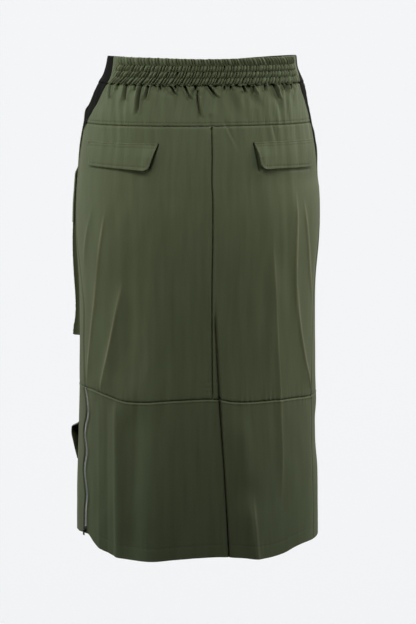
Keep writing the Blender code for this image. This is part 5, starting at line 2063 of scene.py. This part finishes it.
CARDS = table(
    Card,
    ("card_behind_camera", (0.25, 4.2, -0.2), (0.0, 0.0, -0.35), 5.2, 5.3),
    ("card_before", (-0.25, -4.2, -0.2), (0.0, 0.0, -0.35), 5.2, 4.6),
    ("card_below", (0.0, 0.0, -1.25), (0.0, 0.0, 0.0), 3.6, 3.6),
    ("card_low_back", (0.10, 0.65, -0.07), (0.10, 1.65, -0.07), 1.2, 0.30),
    ("card_left", (3.2, 0.0, -0.3), (0.0, 0.0, -0.35), 4.4, 3.6),
    ("card_right", (-3.2, 0.0, -0.3), (0.0, 0.0, -0.35), 4.4, 3.6),
)
LAMPS = table(
    Lamp,
    ("left_softbox", (2.25, -0.40, 0.60), (0.0, 0.0, -0.20), 0.8, 1.7, 41.5, "#fafff6"),
    ("right_softbox", (-2.25, -0.40, 0.60), (0.0, 0.0, -0.20), 0.8, 1.7, 41.5, "#fafff6"),
    ("near_left_softbox", (0.82, 0.36, -0.10), (0.15, 0.05, -0.20), 0.3, 0.3, 1.9, "#ffe6c0"),
    ("near_right_softbox", (-0.82, 0.36, -0.10), (-0.15, 0.05, -0.20), 0.3, 0.3, 2.1, "#ffe6c0"),
    ("high_right_softbox", (-1.90, 0.10, 1.90), (0.0, 0.0, -0.10), 0.9, 0.9, 20.0, "#ffecd6"),
    ("high_back_softbox", (0.30, 1.15, 0.95), (0.0, 0.08, -0.08), 1.1, 0.5, 19.5, "#fff5e2"),
    ("far_back_softbox", (-1.10, 2.40, 1.50), (0.0, 0.0, -0.25), 0.9, 0.9, 8.0, "#ffffff"),
    ("high_front_softbox", (-0.30, -1.15, 0.95), (0.0, -0.08, -0.08), 1.1, 0.5, 16.6, "#fffaf2"),
)


def facing(place: Sequence[float], target: Sequence[float], axis: str) -> Quaternion:
    """Turn that points one axis of an object at a target, with its Y axis upwards."""
    return (Vector(target) - Vector(place)).to_track_quat(axis, "Y")


@dataclass
class Studio:
    """White paper floor, soft boxes on all sides, dark cards, and the camera behind the skirt."""
    floor_height: float = -6.00
    floor_size: float = 900.0
    camera_place: tuple[float, float, float] = (0.3405, 3.2397, 0.1576)
    camera_target: tuple[float, float, float] = (0.0, 0.0, -0.37)
    lens: float = 118.03
    sensor: float = 36.0
    shift_x: float = 0.0165
    shift_y: float = -0.0209
    world_colour: str = "#f5f6f8"
    world_strength: float = 1.0

    @staticmethod
    def light(lamp: Lamp) -> None:
        """Add a soft box.

        Args:
            lamp: Its place, size and power.
        """
        data = bpy.data.lights.new(lamp.name, "AREA")
        data.shape = "RECTANGLE"
        data.size, data.size_y = lamp.width, lamp.depth
        data.energy = lamp.power
        data.color = linear(lamp.colour)[:3]
        box = add_object(lamp.name, data)
        box.location = lamp.place
        box.rotation_euler = facing(lamp.place, lamp.target, "-Z").to_euler()

    @staticmethod
    def sheet_of(name: str, width: float, depth: float, place: Matrix, finish: Finish) -> bpy.types.Object:
        """Add a flat sheet of the studio, which isn't part of the skirt.

        Args:
            name: Its name.
            width: Its size along its own X.
            depth: Its size along its own Y.
            place: Where it stands and how it is turned.
            finish: What it is made of.

        Returns:
            The new object.
        """
        builder = bmesh.new()
        bmesh.ops.create_grid(builder, x_segments=1, y_segments=1, size=0.5,
                              matrix=place @ Matrix.Diagonal((width, depth, 1.0, 1.0)))
        sheet = add_object(name, mesh_of(name, builder))
        finish.dress(sheet)
        sheet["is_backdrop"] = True
        return sheet

    def air(self) -> None:
        """Light the room itself."""
        world = bpy.data.worlds.new("studio_air")
        world.use_nodes = True
        feed(world.node_tree, world.node_tree.nodes["Background"],
             {"Color": linear(self.world_colour), "Strength": self.world_strength})
        bpy.context.scene.world = world
        bpy.context.scene.view_settings.view_transform = "Standard"

    def camera(self) -> None:
        """Stand the camera behind the skirt, a little above it and to the wearer's left."""
        data = bpy.data.cameras.new("camera")
        data.lens, data.sensor_width = self.lens, self.sensor
        data.shift_x, data.shift_y = self.shift_x, self.shift_y
        camera = add_object("camera", data)
        camera.location = self.camera_place
        camera.rotation_euler = facing(self.camera_place, self.camera_target, "-Z").to_euler()
        bpy.context.scene.camera = camera

    def build(self) -> None:
        """Make the floor, cards, room light, lamps and camera."""
        self.sheet_of("paper_floor", self.floor_size, self.floor_size,
                      Matrix.Translation((0.0, 0.0, self.floor_height)), Finish.PAPER)
        for card in CARDS:
            turn = facing(card.place, card.target, "Z").to_matrix().to_4x4()
            sheet = self.sheet_of(card.name, card.width, card.depth, Matrix.Translation(card.place) @ turn,
                                  Finish.CARD)
            sheet.visible_camera = False
        self.air()
        for lamp in LAMPS:
            self.light(lamp)
        self.camera()


def corners() -> list[list[float]]:
    """The model's lowest and highest corners as plain lists."""
    return [list(corner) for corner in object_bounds()]


def main() -> None:
    """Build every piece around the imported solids."""
    logging.basicConfig(level=logging.INFO, format="%(message)s")
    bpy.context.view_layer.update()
    Studio().build()
    Waistband().build()
    BackYoke().build()
    BackPanels().build()
    LowerTier().build()
    Front().build()
    sew_rows("flap_topstitching", [row for flap in FLAPS for row in flap.build()])
    CargoPocket().build()
    UtilityLoop().build()
    SideZip().build()
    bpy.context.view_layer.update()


if __name__ == "__main__":
    main()
